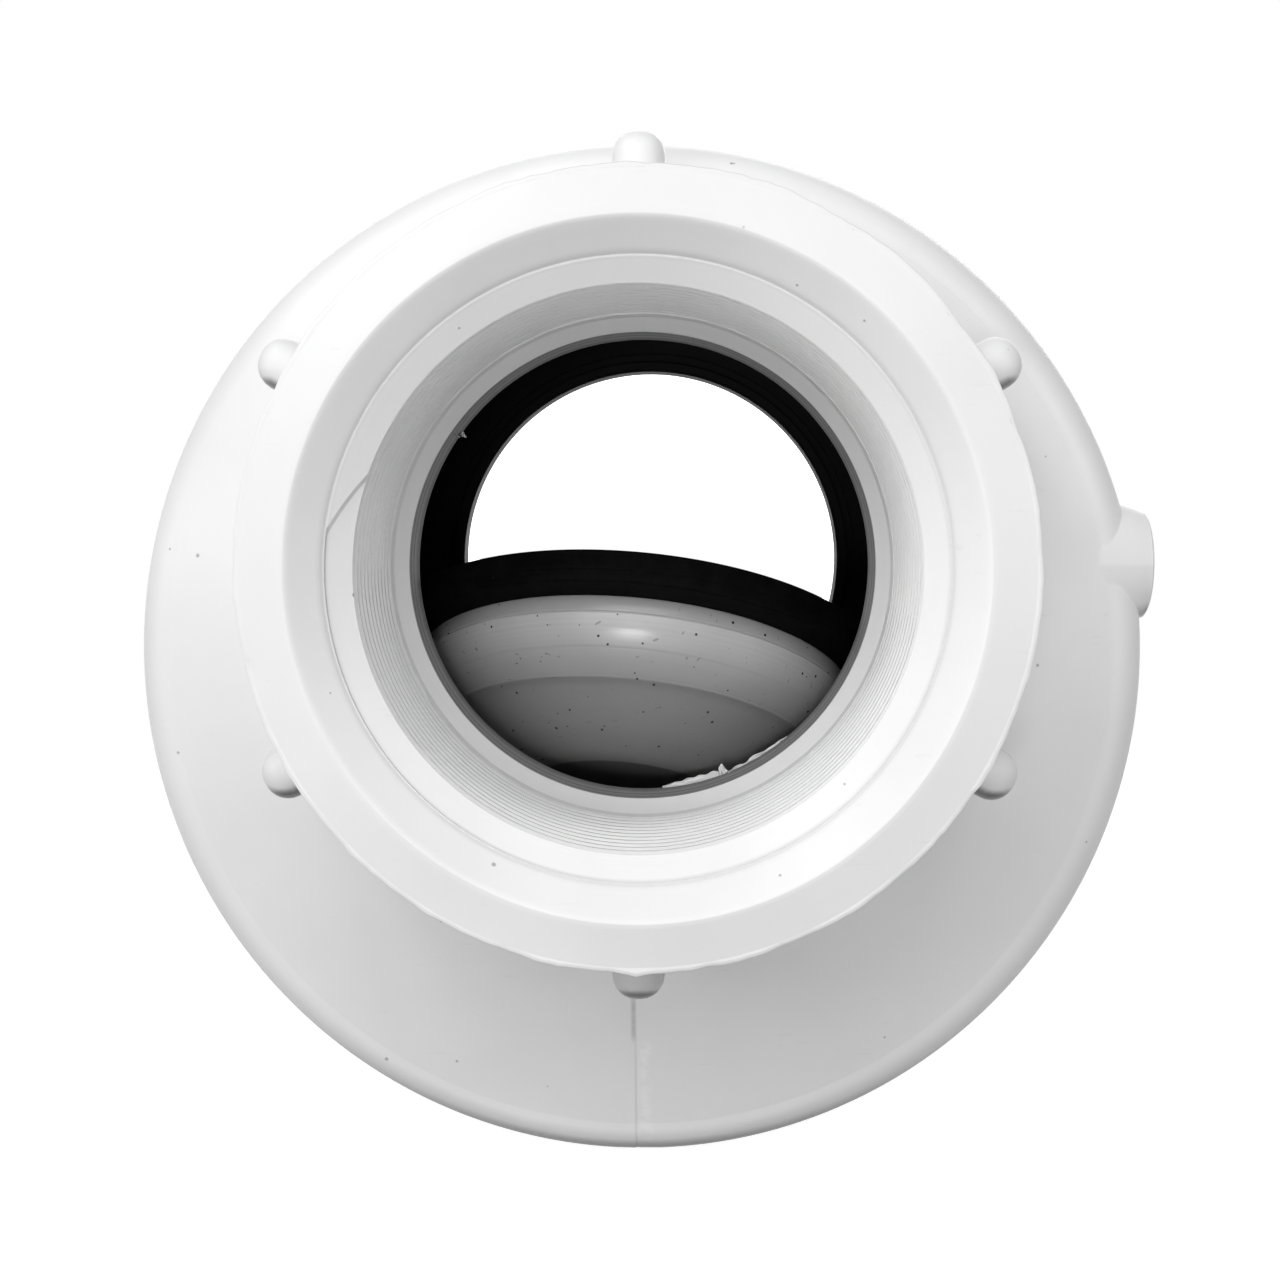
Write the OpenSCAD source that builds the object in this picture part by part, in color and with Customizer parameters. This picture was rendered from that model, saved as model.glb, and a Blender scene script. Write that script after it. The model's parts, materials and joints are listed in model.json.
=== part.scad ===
// Swing non-return valve in white PVC, 2 inch nominal, lying with its hinge at the bottom.
// The port axis runs along Y and the outlet faces -Y. The origin is on the port axis,
// at the first crest of the outlet thread. All sizes are in millimetres.

/* [Outlet thread] */
// Crest radius of the internal pipe thread
thread_crest_r = 28.33; // [27.8:0.01:28.6]
// Root radius of the internal pipe thread
thread_root_r = 29.8; // [29.4:0.01:30.2]
// Thread pitch, eleven turns to the inch
thread_pitch = 2.309; // [2:0.001:2.4]
// Number of turns
thread_turns = 11; // [8:1:12]
// Width of each thread crest
thread_crest_w = 0.6; // [0.4:0.05:0.8]
// Width of each thread root
thread_root_w = 0.4; // [0.2:0.05:0.6]

/* [Ports] */
// Distance from the outlet end to the first thread crest
outlet_end_depth = 8; // [7:0.1:10]
// Radius of the relief behind the thread
relief_r = 29.2; // [28.9:0.05:29.7]
// Length of the relief behind the thread
relief_len = 6.2; // [4:0.1:8]
// Radius of the turned bore between relief and chamber
bore_r = 28.0; // [27:0.05:28.1]
// Length of the turned bore
bore_len = 9; // [7:0.1:10]
// Radius of the inlet's cement socket, for 63 mm pipe
socket_r = 31.6; // [31.55:0.01:31.8]
// Depth of the inlet's cement socket
socket_depth = 37; // [30:0.5:38]
// Radius of the passage between the seat and the socket
throat_r = 30; // [28:0.1:30.2]

/* [Hub] */
// Radius of the rounded crest round each mouth
crest_r = 36; // [35:0.1:37]
// Width of that crest
crest_w = 0.9; // [0.5:0.1:1.5]
// Radius of the corner line inside the mouth
mouth_r = 32.66; // [32.2:0.01:34]
// Depth of the corner line inside the mouth
mouth_depth = 4.56; // [3:0.01:5]
// Radius of the collar
collar_r = 41.5; // [40.5:0.1:43]
// Distance that the collar's edge lies behind the crest
collar_set_back = 2.4; // [1:0.1:4]
// Bevel on the collar's edge
collar_bevel = 0.6; // [0.3:0.1:0.8]
// Length of the collar along the port
collar_len = 8; // [6:0.5:10]
// Radius of the hub behind the collar
hub_r = 39.6; // [38.5:0.1:40.5]
// Outer radius of the grip ribs
rib_tip_r = 46.1; // [44:0.1:47]
// Width of the grip ribs, which have full-round tips
rib_w = 5.4; // [4:0.1:7]
// Number of grip ribs on each hub
rib_count = 6; // [4:2:8]
// Angle of the first grip rib from the boss's side
rib_phase = 30; // [0:1:60]
// Distance from the mouth to the ribs' rounded ends
rib_start = 11.6; // [10.5:0.1:14]

/* [Bell] */
// Outer radius of the bell
bell_r = 64.25; // [63:0.05:68]
// Wall of the bell
bell_wall = 5; // [4:0.1:6]
// Distance that the bell's axis lies below the port axis
bell_drop = 11.2; // [9:0.1:12]
// Radius of the crease where the bell's face meets its shoulder
crease_r = 59.5; // [58:0.1:61]
// Depth of that crease behind the outlet end
crease_depth = 46; // [44:0.1:48]
// Depth behind the outlet end at which the bell reaches full radius
shoulder_depth = 53; // [51:0.1:55]
// Slope of the bell's face, in degrees from square
face_slope = 20; // [12:1:25]
// Distance from the seat plane to the inlet side's crease
inlet_crease_gap = 8; // [7:0.1:10]
// Depth of the inlet half's spigot in the bell
spigot_len = 12; // [8:0.5:16]
// Wall of the spigot
spigot_wall = 4.2; // [3:0.1:5]
// Gap that the cement fills round the spigot
cement_gap = 0.06; // [0.03:0.01:0.1]
// Distance from the seat plane to the seam between the two halves
seam_gap = 15; // [12:0.5:20]
// Width and depth of the groove along the seam
seam_groove = 0.8; // [0.4:0.1:1.2]

/* [Boss and arrow] */
// Radius of the blank tapping boss
boss_r = 7; // [5:0.1:8]
// Distance of the boss's end from the port axis
boss_reach = 65.4; // [64:0.1:70]
// Depth of the boss's axis behind the outlet end
boss_depth = 54; // [53:0.1:62]
// Radius of the boss's crowned end
boss_crown_r = 22; // [15:1:60]
// Length of the raised flow arrow
arrow_len = 34; // [20:1:40]
// Width and length of the arrow's head
arrow_w = 15; // [10:0.5:20]
// Width of the arrow's shaft
arrow_shaft_w = 6; // [4:0.5:8]
// Height of the arrow above the bell
arrow_h = 1.2; // [0.6:0.1:1.6]

/* [Seat carrier] */
// Distance from the first thread crest to the seat plane
seat_y = 109; // [106:0.5:112]
// Width of the carrier's flange round the passage
flange_w = 13.5; // [12.8:0.1:14]
// Thickness of the carrier's flange
carrier_t = 5; // [4.5:0.1:6]
// Gap round the carrier in its pocket
carrier_gap = 0.3; // [0.1:0.05:0.5]
// Height of the sealing lip
lip_h = 0.8; // [0.5:0.1:1]
// Width of the sealing lip
lip_w = 1.2; // [0.8:0.1:1.6]
// Width of the groove round the lip
lip_groove_w = 1.3; // [0.8:0.1:2]
// Turn of the carrier about the port axis, in degrees
carrier_turn = 5.4; // [0:0.1:8]
// Distance from the passage to the circle of the carrier's screws
screws_out = 9.2; // [8.8:0.1:9.6]
// Number of carrier screws
screw_count = 3; // [3:1:3]
// Thread radius of the carrier screws
screw_r = 1.9; // [1.5:0.1:2]
// Length of the carrier screws under the head
screw_len = 8; // [7:0.5:8.5]
// Radius of the screws' heads
screw_head_r = 3.6; // [3:0.1:3.8]
// Height of the screws' heads
screw_head_h = 2.2; // [1.5:0.1:2.4]
// Distance from the passage to the O-ring's centre line
o_ring_out = 4.6; // [4:0.1:5.2]
// Section radius of the O-ring
o_ring_section_r = 1.15; // [0.9:0.05:1.3]

/* [Hinge] */
// Distance from the seat plane to the hinge pin
hinge_ahead = 14.3; // [13.5:0.1:15]
// Distance of the hinge pin below the port axis
hinge_drop = 43.8; // [43:0.1:45]
// Radius of the hinge pin
pin_r = 2.5; // [2:0.1:2.6]
// Running clearance on the hinge pin
pin_gap = 0.05; // [0.03:0.01:0.09]
// Half the distance between the carrier's ears
ear_half_gap = 14; // [13.5:0.1:15]
// Thickness of each ear
ear_t = 4.5; // [4:0.1:5]
// Radius of each ear round the pin
ear_r = 5.5; // [5:0.1:6]
// Distance from the flange's edge to the near side of an ear's root
ear_near = 5.5; // [5:0.1:6.5]
// Distance from the flange's edge to the far side of an ear's root
ear_far = 9.2; // [8:0.1:11]
// Radius of the hinge bushes' sleeves
bush_r = 4; // [3.6:0.1:4.2]
// Length of the hinge bushes' sleeves
bush_len = 9; // [6:0.5:11]
// Thickness of the hinge bushes' flanges
bush_flange_t = 0.9; // [0.6:0.1:1.2]
// Thickness of the pin clips
clip_t = 0.8; // [0.6:0.1:1.2]
// Radius of the pin clips
clip_r = 4.6; // [4:0.1:5]
// Radius of the flap's hinge barrel
barrel_r = 6.5; // [6:0.1:6.6]

/* [Flap] */
// Angle that the flap stands open, in degrees
open_angle = 65.5; // [20:0.5:65.5]
// Gap between the closed seal and the seat lip
seal_gap = 0.2; // [0.1:0.05:0.3]
// Radius of the rubber seal
seal_r = 33.5; // [32.5:0.1:33.8]
// Thickness of the rubber seal
seal_t = 3.6; // [3:0.1:3.7]
// Radius of the disc at its lip, next to the seal
disc_lip_r = 28.8; // [28:0.1:29.5]
// Radius of the ridge where the side meets the dome
ridge_r = 24.9; // [24:0.1:26]
// Height of the ridge above the seal
ridge_h = 8.9; // [8:0.1:10]
// Radius of the flat on top of the dome
flat_r = 12.2; // [10:0.1:13]
// Height of the flat above the seal
flat_h = 15.6; // [14:0.1:16]
// Distance of the fine groove above the seal
disc_groove_h = 3; // [2:0.1:4]
// Depth of the fine groove
disc_groove_d = 0.5; // [0.3:0.1:0.8]
// Wall of the hollow disc
disc_wall = 3.5; // [3:0.1:4]
// Radius of the screw boss inside the disc
disc_boss_r = 7; // [6:0.1:8]
// Thickness of each arm from disc to barrel
arm_t = 4.5; // [4:0.1:5.5]
// Distance from the middle to each arm's centre
arm_x = 9; // [8:0.1:10]
// Radius of the plate that clamps the seal
plate_r = 26; // [24:0.1:27]
// Thickness of the plate
plate_t = 2.5; // [2:0.1:3]
// Radius of the clamp screw
clamp_screw_r = 2.9; // [2:0.1:3.5]
// Length of the clamp screw under its head
clamp_screw_len = 15; // [12:0.5:16]
// Radius of the clamp screw's head
clamp_head_r = 5; // [4.5:0.1:5.5]
// Height of the clamp screw's head
clamp_head_h = 3.2; // [2.5:0.1:4]
// Radius of the washer under the clamp screw
washer_r = 7; // [6:0.1:8]
// Thickness of that washer
washer_t = 1.2; // [0.8:0.1:1.6]

/* [Hidden] */

$fn = 96;

// How far cutting shapes run past a face
cut = 1;
// How far joined solids run into each other
bond = 0.5;
// Gap between pieces that sit tight in each other
slip = 0.02;
// Play of the hinge's pieces along the pin
side_play = 0.1;
// Gap round a screw's thread in a hole that it passes through
screw_hole_gap = 0.2;
// Room past the end of a screw in its blind hole
screw_end_room = 0.5;

// Places along the port axis
outlet_end_y = -outlet_end_depth;
thread_len = thread_turns * thread_pitch;
relief_end_y = thread_len + relief_len;
chamber_y = relief_end_y + bore_len;
crease_y = outlet_end_y + crease_depth;
shoulder_y = outlet_end_y + shoulder_depth;
seam_y = seat_y - seam_gap;
flange_y = seat_y + lip_h;
pocket_y = flange_y + carrier_t;
inner_face_y = seat_y - 0.2;
web_t = 2.2;
socket_y = pocket_y + web_t;
inlet_end_y = socket_y + socket_depth;
inlet_crease_y = seat_y + inlet_crease_gap;
inlet_shoulder_y = inlet_crease_y - (shoulder_depth - crease_depth);

// Seat carrier
carrier_r = throat_r + flange_w;
screw_circle_r = throat_r + screws_out;
o_ring_r = throat_r + o_ring_out;

// Chamber
chamber_r = bell_r - bell_wall;
chamber_fillet = 8;

// Hinge
hinge_y = seat_y - hinge_ahead;
barrel_half = ear_half_gap - bush_flange_t - side_play;
clip_x = ear_half_gap + ear_t + side_play;
pin_half = clip_x + clip_t + 2;
clip_groove_d = 0.6;

// Heights over the seat plane, towards the outlet when the flap is closed
plate_face_t = seal_gap - plate_t;
washer_face_t = plate_face_t - washer_t;
disc_t = seal_gap + seal_t;

// Turns shapes drawn as [radius, distance along the port] about the port axis
module along_port(profile) {
    rotate([-90, 0, 0]) rotate_extrude() polygon(profile);
}

// The same for shapes about the bell's own axis
module along_bell(profile) {
    translate([0, 0, -bell_drop]) along_port(profile);
}

// A rod along the port axis from y0 to y1
module rod_y(r, y0, y1) {
    translate([0, y0, 0]) rotate([-90, 0, 0]) cylinder(r = r, h = y1 - y0);
}

// A rod along X from x0 to x1
module rod_x(r, x0, x1) {
    translate([x0, 0, 0]) rotate([0, 90, 0]) cylinder(r = r, h = x1 - x0);
}

// Points of an arc from angle a0 to a1 about the centre c
function arc(c, r, a0, a1, steps = 8) =
    [for (i = [0:steps]) let (a = a0 + (a1 - a0) * i / steps) c + r * [cos(a), sin(a)]];

// Outside of one hub, with its mouth at end_y and its root at root_y
module hub(end_y, root_y) {
    way = sign(root_y - end_y);
    along_port([
        [0, end_y],
        [crest_r + crest_w / 2, end_y],
        [collar_r - collar_bevel, end_y + way * collar_set_back],
        [collar_r, end_y + way * (collar_set_back + collar_bevel)],
        [collar_r, end_y + way * collar_len],
        [hub_r, end_y + way * (collar_len + collar_r - hub_r)],
        [hub_r, root_y],
        [0, root_y]
    ]);
    for (i = [0:rib_count - 1]) {
        rotate([0, rib_phase + i * 360 / rib_count, 0]) grip_rib(end_y + way * rib_start, root_y);
    }
}

// One grip rib along X's side of the hub, with a round tip and a round end
module grip_rib(start_y, root_y) {
    tip = rib_w / 2;
    sunk_r = hub_r - 3 * bond;
    round_y = start_y + sign(root_y - start_y) * tip;
    low = min(round_y, root_y);
    high = max(round_y, root_y);
    translate([sunk_r, low, -tip]) cube([rib_tip_r - tip - sunk_r, high - low, rib_w]);
    translate([rib_tip_r - tip, 0, 0]) rod_y(tip, low, high);
    translate([rib_tip_r - tip, round_y, 0]) sphere(r = tip);
    translate([0, round_y, 0]) rod_x(tip, sunk_r, rib_tip_r - tip);
}

// The bell's rounded shoulder, from its crease to where it has full radius
function shoulder_points(crease, full, steps = 8) =
    [for (i = [0:steps]) let (a = 90 * i / steps)
        [crease_r + (bell_r - crease_r) * sin(a), crease + (full - crease) * (1 - cos(a))]];

// Outside of one half of the bell, from the seam to its sloping face
module half_bell(crease, full) {
    way = sign(full - crease);
    core_r = hub_r - bell_drop - 2 * bond;
    face_y = crease - way * (crease_r - core_r) * tan(face_slope);
    along_bell(concat(
        [[0, face_y], [core_r, face_y]],
        shoulder_points(crease, full),
        [[bell_r, seam_y - way * seam_groove / 2], [bell_r - seam_groove, seam_y], [0, seam_y]]
    ));
}

// Mouth, thread, relief and turned bore of the outlet
module outlet_bore() {
    flank = (thread_pitch - thread_crest_w - thread_root_w) / 2;
    rim_r = crest_r - crest_w / 2;
    along_port(concat(
        [[0, outlet_end_y - cut], [rim_r, outlet_end_y - cut], [rim_r, outlet_end_y],
         [mouth_r, outlet_end_y + mouth_depth], [thread_root_r, -flank]],
        [for (i = [0:thread_turns - 1]) each [
            [thread_crest_r, i * thread_pitch],
            [thread_crest_r, i * thread_pitch + thread_crest_w],
            [thread_root_r, i * thread_pitch + thread_crest_w + flank],
            [thread_root_r, i * thread_pitch + thread_crest_w + flank + thread_root_w]]],
        [[relief_r, thread_len + (thread_root_r - relief_r)],
         [relief_r, relief_end_y], [bore_r, relief_end_y],
         [bore_r, chamber_y + cut], [0, chamber_y + cut]]
    ));
}

// The hollow inside the bell
module chamber() {
    along_bell(concat(
        [[0, chamber_y]],
        arc([chamber_r - chamber_fillet, chamber_y + chamber_fillet], chamber_fillet, -90, 0),
        [[chamber_r, seam_y + cut], [0, seam_y + cut]]
    ));
}

// Blank boss on the right of the bell, with a crowned end
module tapping_boss() {
    sunk_x = chamber_r - 2 * bond;
    translate([0, outlet_end_y + boss_depth, 0]) rotate([0, 90, 0]) rotate_extrude() polygon(concat(
        [[0, sunk_x], [boss_r, sunk_x]],
        arc([0, boss_reach - boss_crown_r], boss_crown_r, acos(boss_r / boss_crown_r), 90, 6)
    ));
}

// Raised arrow on top of the bell, pointing to the outlet
module flow_arrow() {
    tip_y = shoulder_y + 4 * bond;
    neck_y = tip_y + arrow_w;
    tail_y = tip_y + arrow_len;
    head = arrow_w / 2;
    shaft = arrow_shaft_w / 2;
    intersection() {
        linear_extrude(height = bell_r + arrow_h) polygon([
            [0, tip_y], [head, neck_y], [shaft, neck_y], [shaft, tail_y],
            [-shaft, tail_y], [-shaft, neck_y], [-head, neck_y]
        ]);
        translate([0, 0, -bell_drop]) rod_y(bell_r + arrow_h, tip_y, tail_y);
    }
}

module outlet_body() {
    color("whitesmoke") difference() {
        union() {
            hub(outlet_end_y, crease_y);
            half_bell(crease_y, shoulder_y);
            tapping_boss();
            flow_arrow();
        }
        outlet_bore();
        chamber();
    }
}

// Inlet half, which plugs into the bell and is cemented there
module inlet_body() {
    spigot_r = chamber_r - cement_gap;
    spigot_y = seam_y - spigot_len;
    lead = 1;
    rim_r = crest_r - crest_w / 2;
    color("whitesmoke") difference() {
        union() {
            hub(inlet_end_y, inlet_crease_y);
            half_bell(inlet_crease_y, inlet_shoulder_y);
            along_bell([[0, spigot_y], [spigot_r - lead, spigot_y], [spigot_r, spigot_y + lead],
                        [spigot_r, seam_y + bond], [0, seam_y + bond]]);
        }
        along_bell([[0, spigot_y - cut], [spigot_r - spigot_wall, spigot_y - cut],
                    [spigot_r - spigot_wall, inner_face_y], [0, inner_face_y]]);
        rod_y(carrier_r + carrier_gap, inner_face_y - cut, pocket_y);
        rod_y(throat_r, pocket_y - cut, socket_y + cut);
        along_port([[0, socket_y], [socket_r, socket_y],
                    [socket_r, inlet_end_y - mouth_depth],
                    [mouth_r, inlet_end_y - mouth_depth + (mouth_r - socket_r)],
                    [rim_r, inlet_end_y], [rim_r, inlet_end_y + cut], [0, inlet_end_y + cut]]);
        carrier_frame() at_screws()
            rod_y(screw_r + slip, pocket_y - cut, flange_y + screw_len + screw_end_room);
    }
}

// Everything on the seat carrier is turned a little about the port axis
module carrier_frame() {
    rotate([0, carrier_turn, 0]) children();
}

// The carrier's screws, with one at the top
module at_screws() {
    for (i = [0:screw_count - 1]) {
        rotate([0, i * 360 / screw_count, 0]) translate([0, 0, screw_circle_r]) children();
    }
}

// Puts the hinge's shapes, drawn about X, on the pin's axis
module at_hinge() {
    translate([0, hinge_y, -hinge_drop]) children();
}

// Puts an outline drawn in Y and Z on a plate that runs from x0 to x1
module plate_x(x0, x1) {
    translate([x0, 0, 0]) rotate([90, 0, 90]) linear_extrude(height = x1 - x0) children();
}

// One ear of the carrier, seen along X: round at the pin and tapering to the flange
module ear_side() {
    root_z = ear_far - carrier_r;
    foot_z = ear_near - carrier_r;
    translate([hinge_y, -hinge_drop]) circle(r = ear_r);
    polygon([
        [hinge_y, ear_r - hinge_drop], [flange_y + bond, root_z],
        [flange_y + bond, foot_z], [inner_face_y - cut, foot_z - cut],
        [hinge_y + ear_r * cos(60), -hinge_drop - ear_r * sin(60)], [hinge_y, -hinge_drop]
    ]);
}

module seat_carrier() {
    lip_bevel = 0.4;
    lip_in_r = throat_r + lip_bevel;
    lip_out_r = lip_in_r + lip_w;
    groove_r = lip_out_r + lip_groove_w;
    groove_y = flange_y + lip_h / 2;
    o_room = 0.15;
    o_width = o_ring_section_r + o_room;
    o_floor_y = pocket_y - 2 * o_ring_section_r - o_room;
    color("dimgray") carrier_frame() difference() {
        union() {
            along_port([
                [throat_r, pocket_y], [throat_r, seat_y + lip_bevel],
                [lip_in_r, seat_y], [lip_out_r, seat_y],
                [lip_out_r, groove_y], [groove_r, groove_y], [groove_r, flange_y],
                [carrier_r, flange_y], [carrier_r, pocket_y]
            ]);
            plate_x(ear_half_gap, ear_half_gap + ear_t) ear_side();
            plate_x(-ear_half_gap - ear_t, -ear_half_gap) ear_side();
        }
        at_hinge() rod_x(pin_r + slip, -pin_half, pin_half);
        along_port([[o_ring_r - o_width, o_floor_y], [o_ring_r + o_width, o_floor_y],
                    [o_ring_r + o_width, pocket_y + cut], [o_ring_r - o_width, pocket_y + cut]]);
        at_screws() rod_y(screw_r + screw_hole_gap, flange_y - cut, pocket_y + cut);
    }
}

module carrier_o_ring() {
    color("black") translate([0, pocket_y - o_ring_section_r - slip, 0]) rotate([-90, 0, 0])
        rotate_extrude() translate([o_ring_r, 0]) circle(r = o_ring_section_r, $fn = 32);
}

// A pan-head screw along +Y with its head's underside at y = 0 and a crossed recess
module pan_screw(r, len, head_r, head_h) {
    crown_r = head_r / 2;
    recess_r = head_r * 0.6;
    recess_w = head_r * 0.3;
    difference() {
        union() {
            rod_y(r, -bond, len);
            along_port([[0, 0], [head_r, 0], [head_r, -head_h / 2], [crown_r, -head_h], [0, -head_h]]);
        }
        for (a = [0, 90]) {
            rotate([0, a, 0]) translate([-recess_r, -head_h - cut, -recess_w / 2])
                cube([2 * recess_r, head_h / 2 + cut, recess_w]);
        }
    }
}

module carrier_screws() {
    color("silver") carrier_frame() at_screws() translate([0, flange_y, 0])
        pan_screw(screw_r, screw_len, screw_head_r, screw_head_h);
}

// The groove for one clip, starting at x0
module clip_groove(x0) {
    difference() {
        rod_x(pin_r + cut, x0, x0 + clip_t);
        rod_x(pin_r - clip_groove_d, x0 - cut, x0 + clip_t + cut);
    }
}

module hinge_pin() {
    color("silver") carrier_frame() at_hinge() difference() {
        rod_x(pin_r, -pin_half, pin_half);
        clip_groove(clip_x);
        clip_groove(-clip_x - clip_t);
    }
}

// A spring clip that snaps on the pin's groove, open to one side
module pin_clip(x0) {
    hole_r = pin_r - clip_groove_d + slip;
    slot_w = hole_r * 1.6;
    side = slip * 2;
    color("silver") carrier_frame() at_hinge() difference() {
        rod_x(clip_r, x0 + side, x0 + clip_t - side);
        rod_x(hole_r, x0 - cut, x0 + clip_t + cut);
        translate([x0 - cut, -slot_w / 2, -clip_r - cut]) cube([clip_t + 2 * cut, slot_w, clip_r + cut]);
    }
}

module pin_clip_left() {
    pin_clip(-clip_x - clip_t);
}

module pin_clip_right() {
    pin_clip(clip_x);
}

// Puts the closed flap's shapes in the open place, about the hinge pin
module flap_frame() {
    carrier_frame() at_hinge() rotate([open_angle, 0, 0])
        translate([0, -hinge_y, hinge_drop]) children();
}

// The same for a shape drawn as [radius, height over the seat plane towards the outlet]
module on_flap(profile) {
    flap_frame() translate([0, seat_y, 0]) rotate([90, 0, 0]) rotate_extrude() polygon(profile);
}

// A rod square to the flap from height t0 to t1 over the seat plane
module flap_rod(r, t0, t1) {
    on_flap([[0, t0], [r, t0], [r, t1], [0, t1]]);
}

// The right-hand bush, with its flange next to the ear
module bush() {
    flange_r = barrel_r - cut;
    end_x = barrel_half + bush_flange_t;
    difference() {
        union() {
            rod_x(bush_r, barrel_half - bush_len, end_x);
            rod_x(flange_r, barrel_half, end_x);
        }
        rod_x(pin_r + pin_gap, 0, end_x + cut);
    }
}

module hinge_bush_left() {
    color("ivory") flap_frame() at_hinge() mirror([1, 0, 0]) bush();
}

module hinge_bush_right() {
    color("ivory") flap_frame() at_hinge() bush();
}

// Outline of an arm, drawn in Y and Z with the flap closed
module arm_side() {
    sunk = disc_wall * 0.6;
    lip_y = seat_y - disc_t - bond;
    ridge_y = seat_y - disc_t - ridge_h;
    polygon([
        [lip_y, sunk - disc_lip_r], [lip_y, -disc_lip_r - 3],
        [hinge_y + barrel_r - 0.2, -hinge_drop], [hinge_y - barrel_r + 0.4, -hinge_drop],
        [ridge_y - 2, sunk - ridge_r], [ridge_y + bond, sunk - ridge_r]
    ]);
}

// Radius of the disc's side at a height above its lip, swelling a little on the way
function side_r(h) =
    disc_lip_r - (disc_lip_r - ridge_r) * pow(h / ridge_h, 1.6) + 0.45 * sin(180 * h / ridge_h);

module flap_disc() {
    edge = 0.4;
    groove_half = 0.35;
    ridge_w = 0.6;
    top_t = disc_t + flat_h;
    groove_t = disc_t + disc_groove_h;
    ridge_t = disc_t + ridge_h;
    dome_r = ridge_r - ridge_w;
    dome_t = ridge_t + groove_half;
    hollow_top_t = top_t - disc_wall;
    color("white") difference() {
        union() {
            on_flap(concat(
                [[0, disc_t], [disc_lip_r - edge, disc_t], [disc_lip_r, disc_t + edge],
                 [side_r(disc_groove_h - groove_half), groove_t - groove_half],
                 [side_r(disc_groove_h) - disc_groove_d, groove_t],
                 [side_r(disc_groove_h + groove_half), groove_t + groove_half]],
                [for (h = [disc_groove_h + 1.2:1.2:ridge_h - 0.6]) [side_r(h), disc_t + h]],
                [[ridge_r, ridge_t]],
                [for (i = [0:6]) let (s = i / 7)
                    [dome_r + (flat_r - dome_r) * s, dome_t + (top_t - dome_t) * sin(90 * s)]],
                [[flat_r, top_t], [0, top_t]]
            ));
            flap_frame() {
                plate_x(arm_x - arm_t / 2, arm_x + arm_t / 2) arm_side();
                plate_x(-arm_x - arm_t / 2, arm_t / 2 - arm_x) arm_side();
                at_hinge() rod_x(barrel_r, -barrel_half, barrel_half);
            }
        }
        on_flap([[disc_boss_r, disc_t - cut], [disc_lip_r - disc_wall, disc_t - cut],
                 [disc_lip_r - disc_wall, disc_t + ridge_h * 0.5],
                 [ridge_r - disc_wall, disc_t + ridge_h * 0.8],
                 [flat_r - cut, hollow_top_t - cut], [disc_boss_r, hollow_top_t]]);
        flap_rod(clamp_screw_r + slip, disc_t - cut, washer_face_t + clamp_screw_len + screw_end_room);
        flap_frame() at_hinge() rod_x(bush_r + slip, -barrel_half - cut, barrel_half + cut);
    }
}

module flap_seal() {
    edge = 0.5;
    color("black") difference() {
        on_flap([[0, seal_gap], [seal_r - edge, seal_gap], [seal_r, seal_gap + edge],
                 [seal_r, disc_t - edge], [seal_r - edge, disc_t], [0, disc_t]]);
        flap_rod(clamp_screw_r + screw_hole_gap, seal_gap - cut, disc_t + cut);
    }
}

module seal_clamp_plate() {
    edge = 0.6;
    color("white") difference() {
        on_flap([[0, plate_face_t], [plate_r - edge, plate_face_t],
                 [plate_r, plate_face_t + edge], [plate_r, seal_gap], [0, seal_gap]]);
        flap_rod(clamp_screw_r + screw_hole_gap, plate_face_t - cut, seal_gap + cut);
    }
}

module clamp_washer() {
    color("silver") difference() {
        flap_rod(washer_r, washer_face_t, plate_face_t);
        flap_rod(clamp_screw_r + screw_hole_gap, washer_face_t - cut, plate_face_t + cut);
    }
}

module clamp_screw() {
    color("silver") flap_frame() translate([0, seat_y - washer_face_t, 0])
        rotate([0, 0, 180]) pan_screw(clamp_screw_r, clamp_screw_len, clamp_head_r, clamp_head_h);
}

outlet_body();
inlet_body();
seat_carrier();
carrier_o_ring();
carrier_screws();
hinge_pin();
pin_clip_left();
pin_clip_right();
hinge_bush_left();
hinge_bush_right();
flap_disc();
flap_seal();
seal_clamp_plate();
clamp_washer();
clamp_screw();
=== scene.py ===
"""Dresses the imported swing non-return valve: moulded shells, thread, flap, finishes and stage.

Lengths inside the functions are in millimetres, in the frame of the CAD model: the port runs
along Y, the outlet faces -Y, and the origin lies at the first crest of the outlet thread.
"""

import json
import math

import bmesh
import bpy
from bpy.props import FloatProperty, FloatVectorProperty, IntProperty, PointerProperty
from mathutils import Matrix, Vector, noise

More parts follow.
